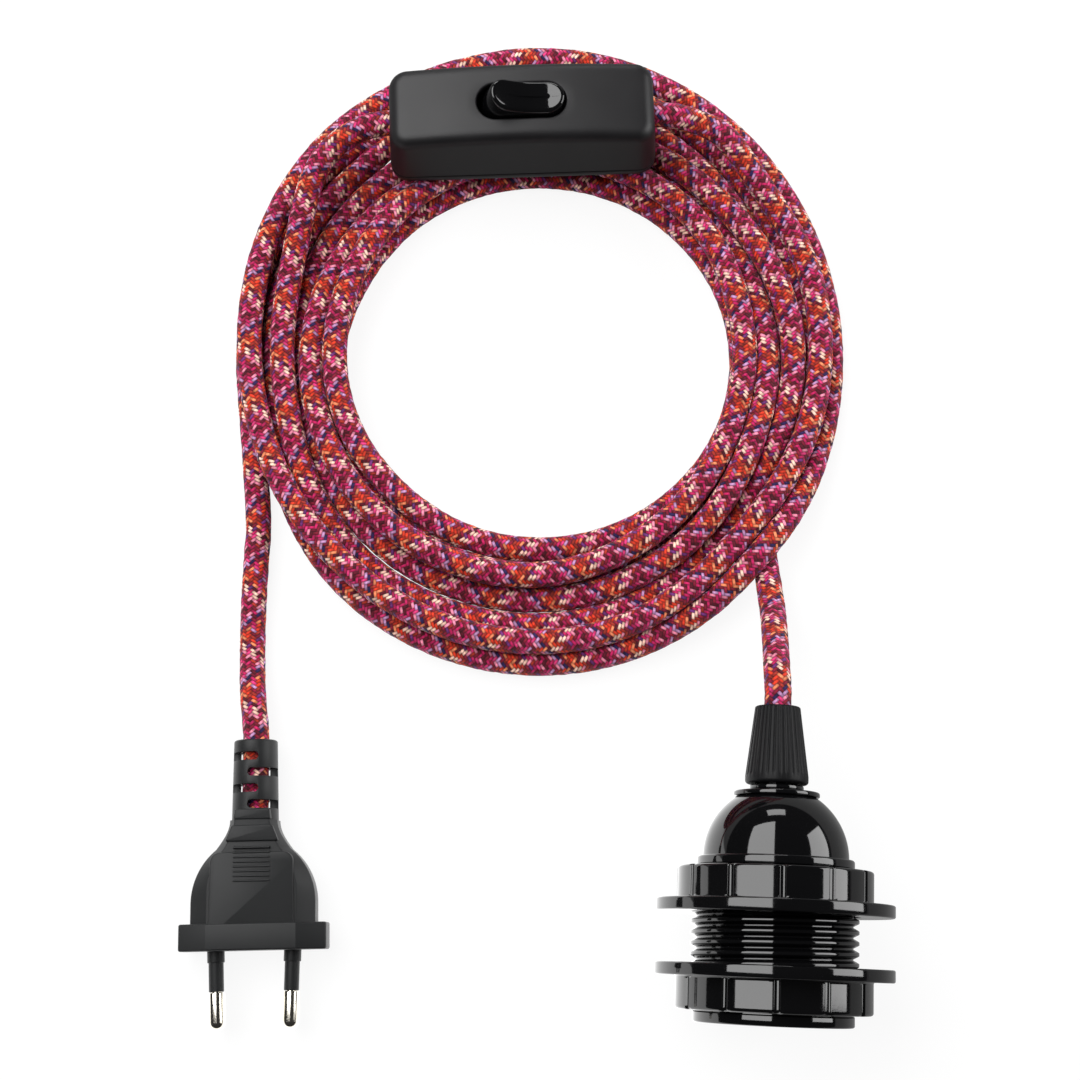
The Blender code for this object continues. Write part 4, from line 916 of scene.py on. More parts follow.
# Core, screw shell and terminals. A phenolic core inside the skirt carries a thin nickelled screw shell, a
# sprung brass contact for the lamp's tip and two brass terminals with plated screws. They show only through
# the mouth.
def metal_finish(name, dull, bright, roughness, stretch):
    """Plated or bare sheet metal with fine drawn lines along one axis and slow patches of tarnish."""
    finish, shader, w = plain_finish(name, roughness, 1.0)
    place = w.node("ShaderNodeTexCoord")
    along = w.node("ShaderNodeMapping")
    w.put(along.inputs["Vector"], place.outputs["Object"])
    along.inputs["Scale"].default_value = stretch
    lines = w.node("ShaderNodeTexNoise")
    w.put(lines.inputs["Vector"], along.outputs[0])
    lines.inputs["Scale"].default_value = 900.0
    lines.inputs["Detail"].default_value = 3.0
    marks = w.node("ShaderNodeGroup", node_tree=MARKS)
    w.put(marks.inputs["Place"], place.outputs["Object"])
    marks.inputs["Tone Scale"].default_value = 150.0
    w.put(shader.inputs["Base Color"], w.blend(marks.outputs["Tone"], linear(dull), linear(bright)))
    span = w.maths("MULTIPLY", lines.outputs["Fac"], 0.16)
    w.put(shader.inputs["Roughness"], w.maths("ADD", span, roughness - 0.08))
    bump = w.node("ShaderNodeBump")
    bump.inputs["Strength"].default_value = 0.3
    bump.inputs["Distance"].default_value = 0.00001
    w.put(bump.inputs["Height"], lines.outputs["Fac"])
    w.put(shader.inputs["Normal"], bump.outputs[0])
    return finish


STEEL = metal_finish("plated_steel", "8F8C86", "CDCAC2", 0.24, (1.0, 0.06, 1.0))
BRASS = metal_finish("stamped_brass", "9A7434", "D9B468", 0.30, (0.06, 1.0, 1.0))
NICKEL = metal_finish("bright_nickel", "B9B4A8", "E6E1D6", 0.16, (1.0, 0.05, 1.0))


def dressed(finish, *nodes):
    """Give the finish to pieces that come from the model as they are."""
    for name in nodes:
        node = bpy.data.objects[name]
        for slot in node.material_slots:
            slot.material = finish


SHELL_MOUTH = 0.0070
SHELL_FLOOR = 0.0310
SHELL_R = 0.0136
SHELL_WALL = 0.0004
SHELL_WAVES = 4
SHELL_WAVE_DEPTH = 0.0007
SHELL_HOLE_R = 0.0064
SHELL_LIP_W = 0.0006
SHELL_FLOOR_R = 0.0005
WAVES_FROM_MOUTH = 0.0012
WAVES_TO_FLOOR = 0.0030
WAVE_STEPS = 60


def build_shell():
    """The drawn shell with its rolled rows, which the lamp's thread runs in."""
    outer, inner = [], []
    first, last = SHELL_MOUTH + WAVES_FROM_MOUTH, SHELL_FLOOR - WAVES_TO_FLOOR
    for i in range(WAVE_STEPS + 1):
        share = i / WAVE_STEPS
        height = first + (last - first) * share
        swing = (1.0 - math.cos(math.tau * SHELL_WAVES * share)) / 2
        outer.append((SHELL_R - SHELL_WAVE_DEPTH * swing, height))
        inner.append((SHELL_R - SHELL_WAVE_DEPTH * swing - SHELL_WALL, height))
    lip = SHELL_R + SHELL_LIP_W
    floor = [
        (SHELL_R, SHELL_FLOOR - SHELL_FLOOR_R), (SHELL_R - SHELL_FLOOR_R, SHELL_FLOOR),
        (SHELL_HOLE_R, SHELL_FLOOR), (SHELL_HOLE_R, SHELL_FLOOR - SHELL_WALL),
        (SHELL_R - SHELL_WALL, SHELL_FLOOR - SHELL_WALL),
    ]
    outline = [(lip - SHELL_WALL, SHELL_MOUTH), (lip, SHELL_MOUTH), *outer, *floor]
    shell = piece("lamp_screw_shell", turned(outline + inner[::-1], 96), NICKEL, holder_place, 50.0)
    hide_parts("screw_shell")
    fitted(shell, "body")


build_shell()
dressed(PHENOLIC, "holder_core")
dressed(BRASS, "contact_tongue", "live_terminal", "live_terminal_rivet", "neutral_terminal",
        "neutral_terminal_rivet")
dressed(STEEL, "live_terminal_screw", "neutral_terminal_screw", "grip_nut")


# Shade rings. Two equal phenolic ring nuts on the skirt's thread clamp a lampshade between their flanges. The
# collar of each has twelve grooves for the fingers, moulded from the flange up to its open end.
RING_R = 0.0283
RING_FLANGE_T = 0.0030
RING_COLLAR_R = 0.02325
RING_H = 0.0107
RING_BORE_R = 0.0202
RING_GROOVES = 12
GROOVE_W = 0.0013
GROOVE_DEPTH = 0.0006
STRAIGHT_FROM = 0.0037
STRAIGHT_TO = 0.0097
UPPER_RING_TURN = math.radians(-2.5)
LOWER_RING_TURN = math.radians(5)


def round_pattern_tree():
    """Repeat a wedge round the Z axis until it closes into a ring."""
    tree, w, given, out = growth_tree("round_pattern", [("Count", "Int"), ("Finish", "Material")])
    spots = w.node("GeometryNodePoints")
    w.put(spots.inputs["Count"], given["Count"])
    turn = w.maths("DIVIDE", w.node("GeometryNodeInputIndex").outputs[0], given["Count"])
    around = w.node("ShaderNodeCombineXYZ")
    w.put(around.inputs[2], w.maths("MULTIPLY", turn, math.tau))
    copies = w.node("GeometryNodeInstanceOnPoints")
    w.put(copies.inputs["Points"], spots.outputs[0])
    w.put(copies.inputs["Instance"], given["Geometry"])
    w.put(copies.inputs["Rotation"], around.outputs[0])
    end_tree(w, copies.outputs[0], given["Finish"], out)
    return tree


ROUND_PATTERN = round_pattern_tree()


def wedge(outline, columns, dent):
    """One wedge of a ring: the outline at each column's angle, with its points drawn in by dent()."""
    verts, faces = [], []
    count = len(outline)
    for k, angle in enumerate(columns):
        for radius, height in outline:
            drawn = radius - dent(radius, height, angle)
            verts.append((drawn * math.cos(angle), drawn * math.sin(angle), height))
        if k:
            for i in range(count):
                j = (i + 1) % count
                base = (k - 1) * count
                faces.append((base + i, base + j, base + count + j, base + count + i))
    mesh = bpy.data.meshes.new("wedge")
    mesh.from_pydata(verts, [], faces)
    return mesh


def ring_wedge():
    """A twelfth of a ring with one groove; two plain points keep the collar's wall straight when shaded."""
    half = math.pi / RING_GROOVES
    edge = GROOVE_W / 2 / RING_COLLAR_R
    ease = edge * 0.45
    inner = [-edge - ease, -edge - ease / 3, -edge, -edge + ease, 0.0, edge - ease, edge, edge + ease / 3,
             edge + ease]
    left = [-half + (inner[0] + half) * i / 6 for i in range(6)]
    columns = left + inner + [-angle for angle in reversed(left)]
    outline = softened([
        (RING_BORE_R, 0.0, 0.0003), (RING_R, 0.0, 0.00045), (RING_R, RING_FLANGE_T, 0.00045),
        (RING_COLLAR_R, RING_FLANGE_T, 0.0004), (RING_COLLAR_R, STRAIGHT_FROM, 0.0),
        (RING_COLLAR_R, STRAIGHT_TO, 0.0), (RING_COLLAR_R, RING_H, 0.0007), (RING_BORE_R, RING_H, 0.0003),
    ], 5)
    level = RING_FLANGE_T + 0.0004

    def dent(radius, height, angle):
        if height < level or radius < RING_COLLAR_R - 0.0012:
            return 0.0
        share = min(1.0, max(0.0, (edge + ease - abs(angle)) / (1.4 * ease)))
        return GROOVE_DEPTH * share * share * (3.0 - 2.0 * share)

    return wedge(outline, columns, dent)


def build_rings():
    for name, node, body, turn in (("shade_ring_above", "upper_shade_ring", "upper_ring", UPPER_RING_TURN),
                                   ("shade_ring_below", "lower_shade_ring", "lower_ring", LOWER_RING_TURN)):
        low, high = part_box(node)
        flange, facing = (low.y, -math.pi / 2) if body == "upper_ring" else (high.y, math.pi / 2)
        place = Matrix.Translation((0.0, flange, HOLDER_AXIS.z)) @ Matrix.Rotation(facing, 4, "X")
        shape = grown(ring_wedge(), ROUND_PATTERN, {"Count": RING_GROOVES, "Finish": PHENOLIC})
        ring = piece(name, shape, PHENOLIC, place @ Matrix.Rotation(turn, 4, "Z"), 50.0)
        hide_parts(node)
        fitted(ring, body)


build_rings()


# Domed cap. A hollow phenolic dome that sits down over the skirt's neck, with a ledge round its foot and a
# small lip at the top where the cord grip's threaded tube comes through.
CAP_WALL = 0.0022
DOME_R = 0.0174
DOME_H = 0.0146
CAP_LEDGE_R = 0.01875
CAP_LEDGE_T = 0.0022
CAP_BOTTOM = SKIRT_H + 0.0003
CEILING_H = 0.0124
LIP_R = 0.01035
LIP_T = 0.0012
NIPPLE_R = 0.0050


def swept_arc(centre, radius, start, end, steps):
    """Points of a circular arc, with angles in radians."""
    angles = [start + (end - start) * i / steps for i in range(steps + 1)]
    return [(centre[0] + radius * math.cos(a), centre[1] + radius * math.sin(a)) for a in angles]


def build_cap():
    base = CAP_BOTTOM + CAP_LEDGE_T
    top = base + DOME_H + LIP_T
    inner_r = DOME_R - CAP_WALL
    room = NECK_R + GAP
    inner = swept_arc((0.0, base), inner_r, math.asin(CEILING_H / inner_r), math.acos(room / inner_r), 16)
    outer = swept_arc((0.0, base), DOME_R, 0.0, math.asin(DOME_H / DOME_R), 40)
    hole = NIPPLE_R + GAP
    ledge = softened([
        (room, CAP_BOTTOM, 0.0), (CAP_LEDGE_R, CAP_BOTTOM, 0.0003), (CAP_LEDGE_R, base, 0.0006),
        (DOME_R, base, 0.0),
    ])[1:-1]
    lip = softened([
        (hole, top, 0.0), (hole, base + DOME_H, 0.0), (LIP_R, base + DOME_H, 0.0003), (LIP_R, top, 0.0005),
    ])[2:]
    outline = [(hole, base + CEILING_H), *inner, (room, CAP_BOTTOM), *ledge, *outer, *lip, (hole, top)]
    cap = piece("domed_cap", turned(outline, 180), PHENOLIC, holder_place, 40.0)
    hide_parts("holder_cap")
    fitted(cap, "body")


build_cap()


# Cord grip. A matte nylon cone with thirty fine ribs screws onto the threaded tube above the cap and squeezes
# the cord; the tube's own collar shows as a thin step under it.
NYLON = moulded_finish("matte_nylon", "080809", "111113", 0.42, 0.55, 1400.0, 0.000012, 0.15)
GRIP_FOOT_R = 0.0076
GRIP_TIP_R = 0.00545
GRIP_RIBS = 30
GRIP_RIB_DEPTH = 0.00020
GRIP_RIBS_FROM = 0.0019
GRIP_SOCKET_H = 0.0065
CORD_HOLE_R = 0.00371
NIPPLE_FOOT = 0.0070
NIPPLE_COLLAR_R = 0.0065
NIPPLE_COLLAR_T = 0.0012


def build_grip():
    low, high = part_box("cord_grip")
    bottom, top = low.y - HOLDER_AXIS.y, high.y - HOLDER_AXIS.y
    socket_r, socket_top = NIPPLE_R + GAP, bottom + GRIP_SOCKET_H
    rib_from = bottom + GRIP_RIBS_FROM
    foot = (GRIP_FOOT_R, rib_from)
    outline = softened([
        (CORD_HOLE_R, top, 0.0004), (GRIP_TIP_R, top, 0.0005), (*foot, 0.0), (GRIP_FOOT_R, bottom, 0.0008),
        (socket_r, bottom, 0.0003), (socket_r, socket_top, 0.0), (CORD_HOLE_R, socket_top, 0.0),
    ], 5)
    split = outline.index(foot)
    tip = outline[split - 1]
    slope = [(tip[0] + (foot[0] - tip[0]) * share, tip[1] + (foot[1] - tip[1]) * share)
             for share in (0.02, 0.5, 0.96)]
    outline[split:split] = slope
    half = math.pi / GRIP_RIBS

    def dent(radius, height, angle):
        side = GRIP_FOOT_R + (GRIP_TIP_R - GRIP_FOOT_R) * (height - rib_from) / (top - rib_from)
        if height <= rib_from or abs(radius - side) > 0.0002:
            return 0.0
        from_valley = min(1.0, abs(abs(angle) - half) / (half * 0.6))
        return GRIP_RIB_DEPTH * (0.5 + 0.5 * math.cos(math.pi * from_valley))

    columns = [-half + half * i / 6 for i in range(13)]
    shape = grown(wedge(outline, columns, dent), ROUND_PATTERN, {"Count": GRIP_RIBS, "Finish": NYLON})
    grip = piece("ribbed_grip", shape, NYLON, holder_place, 60.0)
    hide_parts("cord_grip")
    fitted(grip, "body")
    collar_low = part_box("holder_cap")[1].y - HOLDER_AXIS.y + GAP
    collar_top = collar_low + NIPPLE_COLLAR_T
    tube_low, tube_top = collar_low - NIPPLE_FOOT, collar_top + GRIP_SOCKET_H
    tube = [
        (CORD_HOLE_R, tube_low, 0.0), (NIPPLE_R, tube_low, 0.0003), (NIPPLE_R, collar_low, 0.0),
        (NIPPLE_COLLAR_R, collar_low, 0.0004), (NIPPLE_COLLAR_R, collar_top, 0.0004),
        (NIPPLE_R, collar_top, 0.0), (NIPPLE_R, tube_top, 0.0003), (CORD_HOLE_R, tube_top, 0.0),
    ]
    nipple = piece("threaded_tube", turned(softened(tube), 72), PHENOLIC, holder_place)
    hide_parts("grip_nipple")
    fitted(nipple, "body")


build_grip()


# Plug. One soft matte moulding over two pins: a wide flange, a flat body with raised panels and low gripping
# ribs, and a round strain relief slotted from both sides in turn, through which the cord shows.
PLUG_MATTE = moulded_finish("plug_moulding", "101112", "191A1B", 0.42, 0.58, 1500.0, 0.000014, 0.28)
PLUG_T = 0.0138
FLANGE_W = 0.0364
FLANGE_T = 0.0066
FLANGE_EDGE_T = 0.0086
FACET_W = 0.0220
BODY_W = 0.0309
BODY_T = 0.0121
BODY_EDGE_T = 0.0072
BODY_EDGE_END_T = 0.0060
THIN_FROM = 0.0225
ROUND_FROM = 0.0115
ROUND_LENGTH = 0.0164
WAIST = 0.0246
SHOULDER = 0.0318
RELIEF_ROOT = 0.0278
RELIEF_END = 0.0519
RELIEF_R = 0.0059
RELIEF_TOP_R = 0.00545
RELIEF_SLOTS = 4
SLOT_W = 0.0021
SLOT_PITCH = 0.0040
SLOT_WEB_T = 0.0009
SLOT_FROM_END = 0.0042
SLOT_PAST_CENTRE = 0.0014
PANEL_EDGE_R = 0.0003
# Each raised panel: half its width and its distance from the front face at both ends, its height above the
# plug's middle, and the radius of its far corners
PANELS = (
    ((0.0106, 0.0030), (0.0102, 0.0238), 0.00672, 0.0024),
    ((0.0066, 0.0264), (0.0050, 0.0304), 0.00650, 0.0006),
    ((0.0046, 0.0318), (0.0043, 0.0344), 0.00615, 0.0004),
)
RIB_COUNT = 8
RIBS_FROM = 0.0165
RIB_PITCH = 0.00115
RIB_W = 0.0090
RIB_H = 0.0003
EDGE_BEVEL_W = 0.00022
SECTION_R = 0.0006
plug_place = Matrix.Translation(PLUG_FRONT) @ Matrix.Rotation(PLUG_LEAN, 4, "Z")


def row_pattern_tree():
    """Repeat a shape in a straight row along Y."""
    inputs = [("Count", "Int"), ("Pitch", "Float"), ("Finish", "Material")]
    tree, w, given, out = growth_tree("row_pattern", inputs)
    spot = w.node("ShaderNodeCombineXYZ")
    w.put(spot.inputs[1], w.maths("MULTIPLY", w.node("GeometryNodeInputIndex").outputs[0], given["Pitch"]))
    spots = w.node("GeometryNodePoints")
    w.put(spots.inputs["Count"], given["Count"])
    w.put(spots.inputs["Position"], spot.outputs[0])
    copies = w.node("GeometryNodeInstanceOnPoints")
    w.put(copies.inputs["Points"], spots.outputs[0])
    w.put(copies.inputs["Instance"], given["Geometry"])
    end_tree(w, copies.outputs[0], given["Finish"], out)
    return tree


ROW_PATTERN = row_pattern_tree()


def eased(low, high, share):
    """Blend two values with a level start and end."""
    share = min(1.0, max(0.0, share))
    return low + (high - low) * share * share * (3.0 - 2.0 * share)


def body_half_width(y):
    """Full behind the flange, round at the shoulders, then drawn in to the strain relief."""
    def shoulder(at):
        share = max(0.0, (at - ROUND_FROM) / ROUND_LENGTH)
        return BODY_W / 2 * math.sqrt(1.0 - share * share)

    if y <= WAIST:
        return shoulder(y)
    share = (y - WAIST) / (SHOULDER - WAIST)
    return RELIEF_R + (shoulder(WAIST) - RELIEF_R) * (1.0 - math.sin(share * math.pi / 2))


def plug_section(y, half_width, half_thick, half_facet, half_edge):
    """An eight-cornered section with soft corners."""
    upper = [(half_facet, half_thick), (half_width, half_edge)]
    right = upper + [(x, -z) for x, z in upper[::-1]]
    corners = [(x, z, SECTION_R) for x, z in right] + [(-x, z, SECTION_R) for x, z in right[::-1]]
    return [Vector((x, y, z)) for x, z in softened(corners, 4)]


def plug_body_shape():
    rings = []
    steps = 64
    start = FLANGE_T / 2
    for i in range(steps + 1):
        y = start + (SHOULDER - start) * i / steps
        width = body_half_width(y)
        thick = eased(BODY_T / 2, RELIEF_R, (y - THIN_FROM) / (SHOULDER - THIN_FROM))
        facet = min(FACET_W / 2, 0.74 * width)
        edge = eased(BODY_EDGE_T / 2, BODY_EDGE_END_T / 2, y / SHOULDER)
        rings.append(plug_section(y, width, thick, facet, edge))
    return skinned(rings)


def panel(near, far, top, corner):
    """A raised panel on the plug's upper face, narrowing from its near to its far edge, with a soft rim."""
    rings = []
    soft = PANEL_EDGE_R
    for inset, height in ((0.0, 0.0), (0.0, top - soft), (soft * 0.3, top - soft * 0.3), (soft, top)):
        near_x, far_x = near[0] - inset, far[0] - inset
        near_y, far_y = near[1] + inset, far[1] - inset
        outline = softened([(near_x, near_y, 0.0003), (far_x, far_y, corner),
                            (-far_x, far_y, corner), (-near_x, near_y, 0.0003)], 6)
        rings.append([Vector((x, y, height)) for x, y in outline])
    return skinned(rings)


def plug_flange_shape():
    soft = 0.0005
    front = [(along, inset) for inset, along in swept_arc((soft, soft), soft, 1.5 * math.pi, math.pi, 4)]
    back = [(FLANGE_T - along, inset) for along, inset in front[::-1]]
    rings = []
    for y, inset in front + back:
        rings.append(plug_section(y, FLANGE_W / 2 - inset, PLUG_T / 2 - inset, FACET_W / 2 - inset / 2,
                                  FLANGE_EDGE_T / 2 - inset / 2))
    return skinned(rings)


def baked(target):
    """Apply a piece's modifiers to its mesh."""
    graph = bpy.context.evaluated_depsgraph_get()
    result = bpy.data.meshes.new_from_object(target.evaluated_get(graph))
    target.modifiers.clear()
    target.data = result
    return target


def cut_from(target, bm, place):
    """Cut a shape out of a piece."""
    tool = piece("cutter", bm, target.data.materials[0], place)
    step = target.modifiers.new("cut", "BOOLEAN")
    step.operation = "DIFFERENCE"
    step.solver = "EXACT"
    step.object = tool
    baked(target)
    bpy.data.objects.remove(tool)


def slot_shape(y, side):
    """A slot in one side of the strain relief, cut from above and from below down to a thin web."""
    half = SLOT_W / 2
    inner = SLOT_PAST_CENTRE - half
    outline = swept_arc((inner, y), half, -math.pi / 2, math.pi / 2, 12)
    outline += [(-2 * RELIEF_R, y + half), (-2 * RELIEF_R, y - half)]
    web, clear = SLOT_WEB_T / 2, 2 * RELIEF_R
    cuts = []
    for pair in ((-clear, -web), (web, clear)):
        cuts.append(skinned([[Vector((side * x, across, z)) for x, across in outline] for z in pair]))
    return gathered(*cuts)


def along_plug(outline, sides=64):
    """A turned shape whose axis is the plug's own."""
    return moved(turned(outline, sides), Matrix.Rotation(-math.pi / 2, 4, "X"))


def build_plug():
    relief = softened([(CORD_HOLE_R, RELIEF_ROOT, 0.0), (RELIEF_R, RELIEF_ROOT, 0.0),
                       (RELIEF_TOP_R, RELIEF_END, 0.0006), (CORD_HOLE_R, RELIEF_END, 0.0003)], 5)
    neck = piece("strain_relief", along_plug(relief, 96), PLUG_MATTE, plug_place)
    slots = []
    for i in range(RELIEF_SLOTS):
        y = RELIEF_END - SLOT_FROM_END - SLOT_PITCH * i
        slots.append(slot_shape(y, 1 if i % 2 == 0 else -1))
    cut_from(neck, gathered(*slots), plug_place)
    soften = neck.modifiers.new("soft_edges", "BEVEL")
    soften.width = EDGE_BEVEL_W
    soften.segments = 2
    soften.limit_method = "ANGLE"
    soften.angle_limit = math.radians(40)
    baked(neck)
    neck.data.shade_smooth()
    neck.data.set_sharp_from_angle(angle=math.radians(50))

    profile = softened([
        (0.0, -RIB_H, 0.0), (RIB_PITCH * 0.55, -RIB_H, 0.0), (RIB_PITCH * 0.42, RIB_H, 0.0001),
        (RIB_PITCH * 0.13, RIB_H, 0.0001),
    ], 3)
    bar = skinned([[Vector((x, y, z)) for y, z in profile] for x in (-RIB_W / 2, RIB_W / 2)])
    one = bpy.data.meshes.new("rib")
    bar.to_mesh(one)
    bar.free()
    ribs = []
    for turn in (0.0, math.pi):
        row = grown(one, ROW_PATTERN, {"Count": RIB_COUNT, "Pitch": RIB_PITCH, "Finish": PLUG_MATTE})
        row = moved(row, Matrix.Translation((0.0, RIBS_FROM, PANELS[0][2])))
        ribs.append(moved(row, Matrix.Rotation(turn, 4, "Y")))
        ribs += [moved(panel(*edges), Matrix.Rotation(turn, 4, "Y")) for edges in PANELS]
    shapes = gathered(plug_body_shape(), plug_flange_shape(), *ribs)
    body = piece("plug_moulding", shapes, PLUG_MATTE, plug_place, 50.0)
    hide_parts("plug_body")
    fitted(body, "body")
    fitted(neck, "body")
    return [body, neck]


plug_pieces = build_plug()


# Pins. Two solid nickel-plated pins, toed in a little, with a matte sleeve over the half next to the plug and
# a short collar round the sleeve's root.
PIN_R = 0.0020
PIN_LENGTH = 0.0190
PIN_SPACING = 0.0190
PIN_TOE_IN = math.radians(1.7)
SLEEVE_R = 0.00185
SLEEVE_LENGTH = 0.0098
COLLAR_R = 0.00215
COLLAR_LENGTH = 0.0028
PIN_ROOT_R = 0.0013
PIN_ROOT = -0.0050
SLEEVE_ROOT = -0.0020
COLLAR_ROOT = -0.0004
PIN_STEP = SLEEVE_LENGTH + 0.0001


def build_pins():
    made = []
    metal = softened([
        (0.0, PIN_ROOT, 0.0), (PIN_ROOT_R, PIN_ROOT, 0.0), (PIN_ROOT_R, PIN_STEP, 0.0),
        (PIN_R, PIN_STEP, 0.0003), (PIN_R, PIN_LENGTH, PIN_R * 0.92), (0.0, PIN_LENGTH, 0.0),
    ], 8)
    bore = PIN_ROOT_R + 0.0001
    cover = softened([
        (bore, SLEEVE_ROOT, 0.0), (SLEEVE_R, SLEEVE_ROOT, 0.0), (SLEEVE_R, SLEEVE_LENGTH, 0.0002),
        (bore, SLEEVE_LENGTH, 0.0),
    ])
    inner = SLEEVE_R - 0.0002
    collar = softened([
        (inner, COLLAR_ROOT, 0.0), (COLLAR_R, COLLAR_ROOT, 0.0), (COLLAR_R, COLLAR_LENGTH, 0.0002),
        (inner, COLLAR_LENGTH, 0.0),
    ])
    for side, word in ((-1, "left"), (1, "right")):
        root = Matrix.Translation((side * PIN_SPACING / 2, 0.0, 0.0))
        toed_in = Matrix.Rotation(-side * PIN_TOE_IN, 4, "Z")
        place = plug_place @ root @ toed_in @ Matrix.Rotation(math.pi / 2, 4, "X")
        pin = piece(f"pin_{word}", turned(metal, 64), NICKEL, place, 50.0)
        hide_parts(f"plug_pin_{word}")
        fitted(pin, "body")
        sleeve = piece(f"sleeve_{word}", gathered(turned(cover, 64), turned(collar, 64)), PLUG_MATTE, place)
        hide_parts(f"pin_sleeve_{word}")
        fitted(sleeve, "body")
        made += [pin, sleeve]
    return made


plug_pieces += build_pins()


# Switch shell. A satin moulded cover, arched along its length, closes over a shallow tray. Each end has a
# round doorway for the cord, and an oval opening in the top lets the rocker through.
SHELL_SATIN = moulded_finish("satin_shell", "0E0D0F", "161517", 0.40, 0.52, 1200.0, 0.000010, 0.34)
SWITCH_W = 0.0264
SWITCH_H = 0.0198
SIDE_DRAFT = 0.0022
END_DRAFT = 0.0006
SWITCH_ARCH = 0.0024
SWITCH_CORNER_R = 0.0048
SWITCH_EDGE_R = 0.0033
SWITCH_WALL = 0.0016
TRAY_FLOOR = 0.0016
BASE_H = 0.0028
PARTING = BASE_H + GAP
OPENING_LENGTH = 0.0230
OPENING_W = 0.0098
OPENING_EDGE_R = 0.0005
switch_place = Matrix.Translation(SWITCH_PLACE) @ Matrix.Rotation(SWITCH_TURN, 4, "Z")


def arched(x, height):
    """The cover's height above a point, falling away from the middle towards both ends."""
    return height - SWITCH_ARCH * (x / (SWITCH_LENGTH / 2)) ** 2


def rounded_outline(length, width, corner, along=24, across=6, turn=12):
    """A rounded rectangle with split sides, the same number of points whatever its size."""
    x, y = length / 2 - corner, width / 2 - corner
    points = []
    for sx, sy, start in ((1, 1, 0.0), (-1, 1, 0.5), (-1, -1, 1.0), (1, -1, 1.5)):
        points += swept_arc((sx * x, sy * y), corner, start * math.pi, (start + 0.5) * math.pi, turn)
        straight = along if start in (0.0, 1.0) else across
        here = points[-1]
        there = (-here[0], here[1]) if start in (0.0, 1.0) else (here[0], -here[1])
        for i in range(1, straight):
            share = i / straight
            points.append((here[0] + (there[0] - here[0]) * share, here[1] + (there[1] - here[1]) * share))
    return points


def cover_ring(inset, height, drop, lean=0.0):
    """A ring round the cover, inset from its leaning side, at a drop below the arched surface of a height."""
    length = SWITCH_LENGTH - 2 * (inset + END_DRAFT * lean)
    width = SWITCH_W - 2 * (inset + SIDE_DRAFT * lean)
    outline = rounded_outline(length, width, max(SWITCH_CORNER_R - inset, 0.0004))
    return [Vector((x, y, arched(x, height) - drop)) for x, y in outline]


def opening_ring(spread, height, drop):
    """A ring round the rocker's opening, spread outwards from its edge."""
    length, width = OPENING_LENGTH + 2 * spread, OPENING_W + 2 * spread
    outline = rounded_outline(length, width, width / 2 - 0.00001)
    return [Vector((x, y, arched(x, height) - drop)) for x, y in outline]


def blended(ring, other, share):
    return [a.lerp(b, share) for a, b in zip(ring, other)]


def on_arch(ring, height):
    """The same ring laid on the arched surface of a height."""
    return [Vector((p.x, p.y, arched(p.x, height))) for p in ring]


def level_ring(inset, height):
    """A flat ring round the cover's foot or the tray."""
    return [Vector((p.x, p.y, height)) for p in cover_ring(inset, 0.0, 0.0)]


def build_cover():
    inner_top = SWITCH_H - SWITCH_WALL
    rings = [level_ring(0.0002, PARTING), level_ring(0.0, PARTING + 0.0002)]
    for i in range(9):
        angle = math.pi / 2 * i / 8
        rings.append(cover_ring(SWITCH_EDGE_R * (1 - math.cos(angle)), SWITCH_H,
                                SWITCH_EDGE_R * (1 - math.sin(angle)), 1.0))
    edge, rim = rings[-1], opening_ring(OPENING_EDGE_R, SWITCH_H, 0.0)
    rings += [on_arch(blended(edge, rim, i / 8), SWITCH_H) for i in range(1, 8)]
    for i in range(6):
        angle = math.pi / 2 * i / 5
        rings.append(opening_ring(OPENING_EDGE_R * (1 - math.sin(angle)), SWITCH_H,
                                  OPENING_EDGE_R * (1 - math.cos(angle))))
    rings.append(opening_ring(0.0, inner_top, 0.0))
    rings.append(cover_ring(SWITCH_EDGE_R, inner_top, 0.0, 1.0))
    rings.append(cover_ring(SWITCH_WALL, inner_top, SWITCH_EDGE_R - SWITCH_WALL, 1.0))
    rings.append(level_ring(SWITCH_WALL, PARTING))
    cover = piece("arched_cover", skinned(rings, "joined"), SHELL_SATIN, switch_place, 50.0)
    doors = []
    for side in (-1, 1):
        arch = swept_arc((0.0, CORD_ENTRY_H), CORD_HOLE_R, 0.0, math.pi, 24)
        door = [(CORD_HOLE_R, PARTING - GAP), *arch, (-CORD_HOLE_R, PARTING - GAP)]
        ends = (side * (SWITCH_LENGTH / 2 - 2 * SWITCH_WALL), side * (SWITCH_LENGTH / 2 + GAP))
        doors.append(skinned([[Vector((x, y, z)) for y, z in door] for x in ends]))
    cut_from(cover, gathered(*doors), switch_place)
    cover.data.shade_smooth()
    cover.data.set_sharp_from_angle(angle=math.radians(50))
    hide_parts("switch_cover")
    fitted(cover, "body")
    return cover


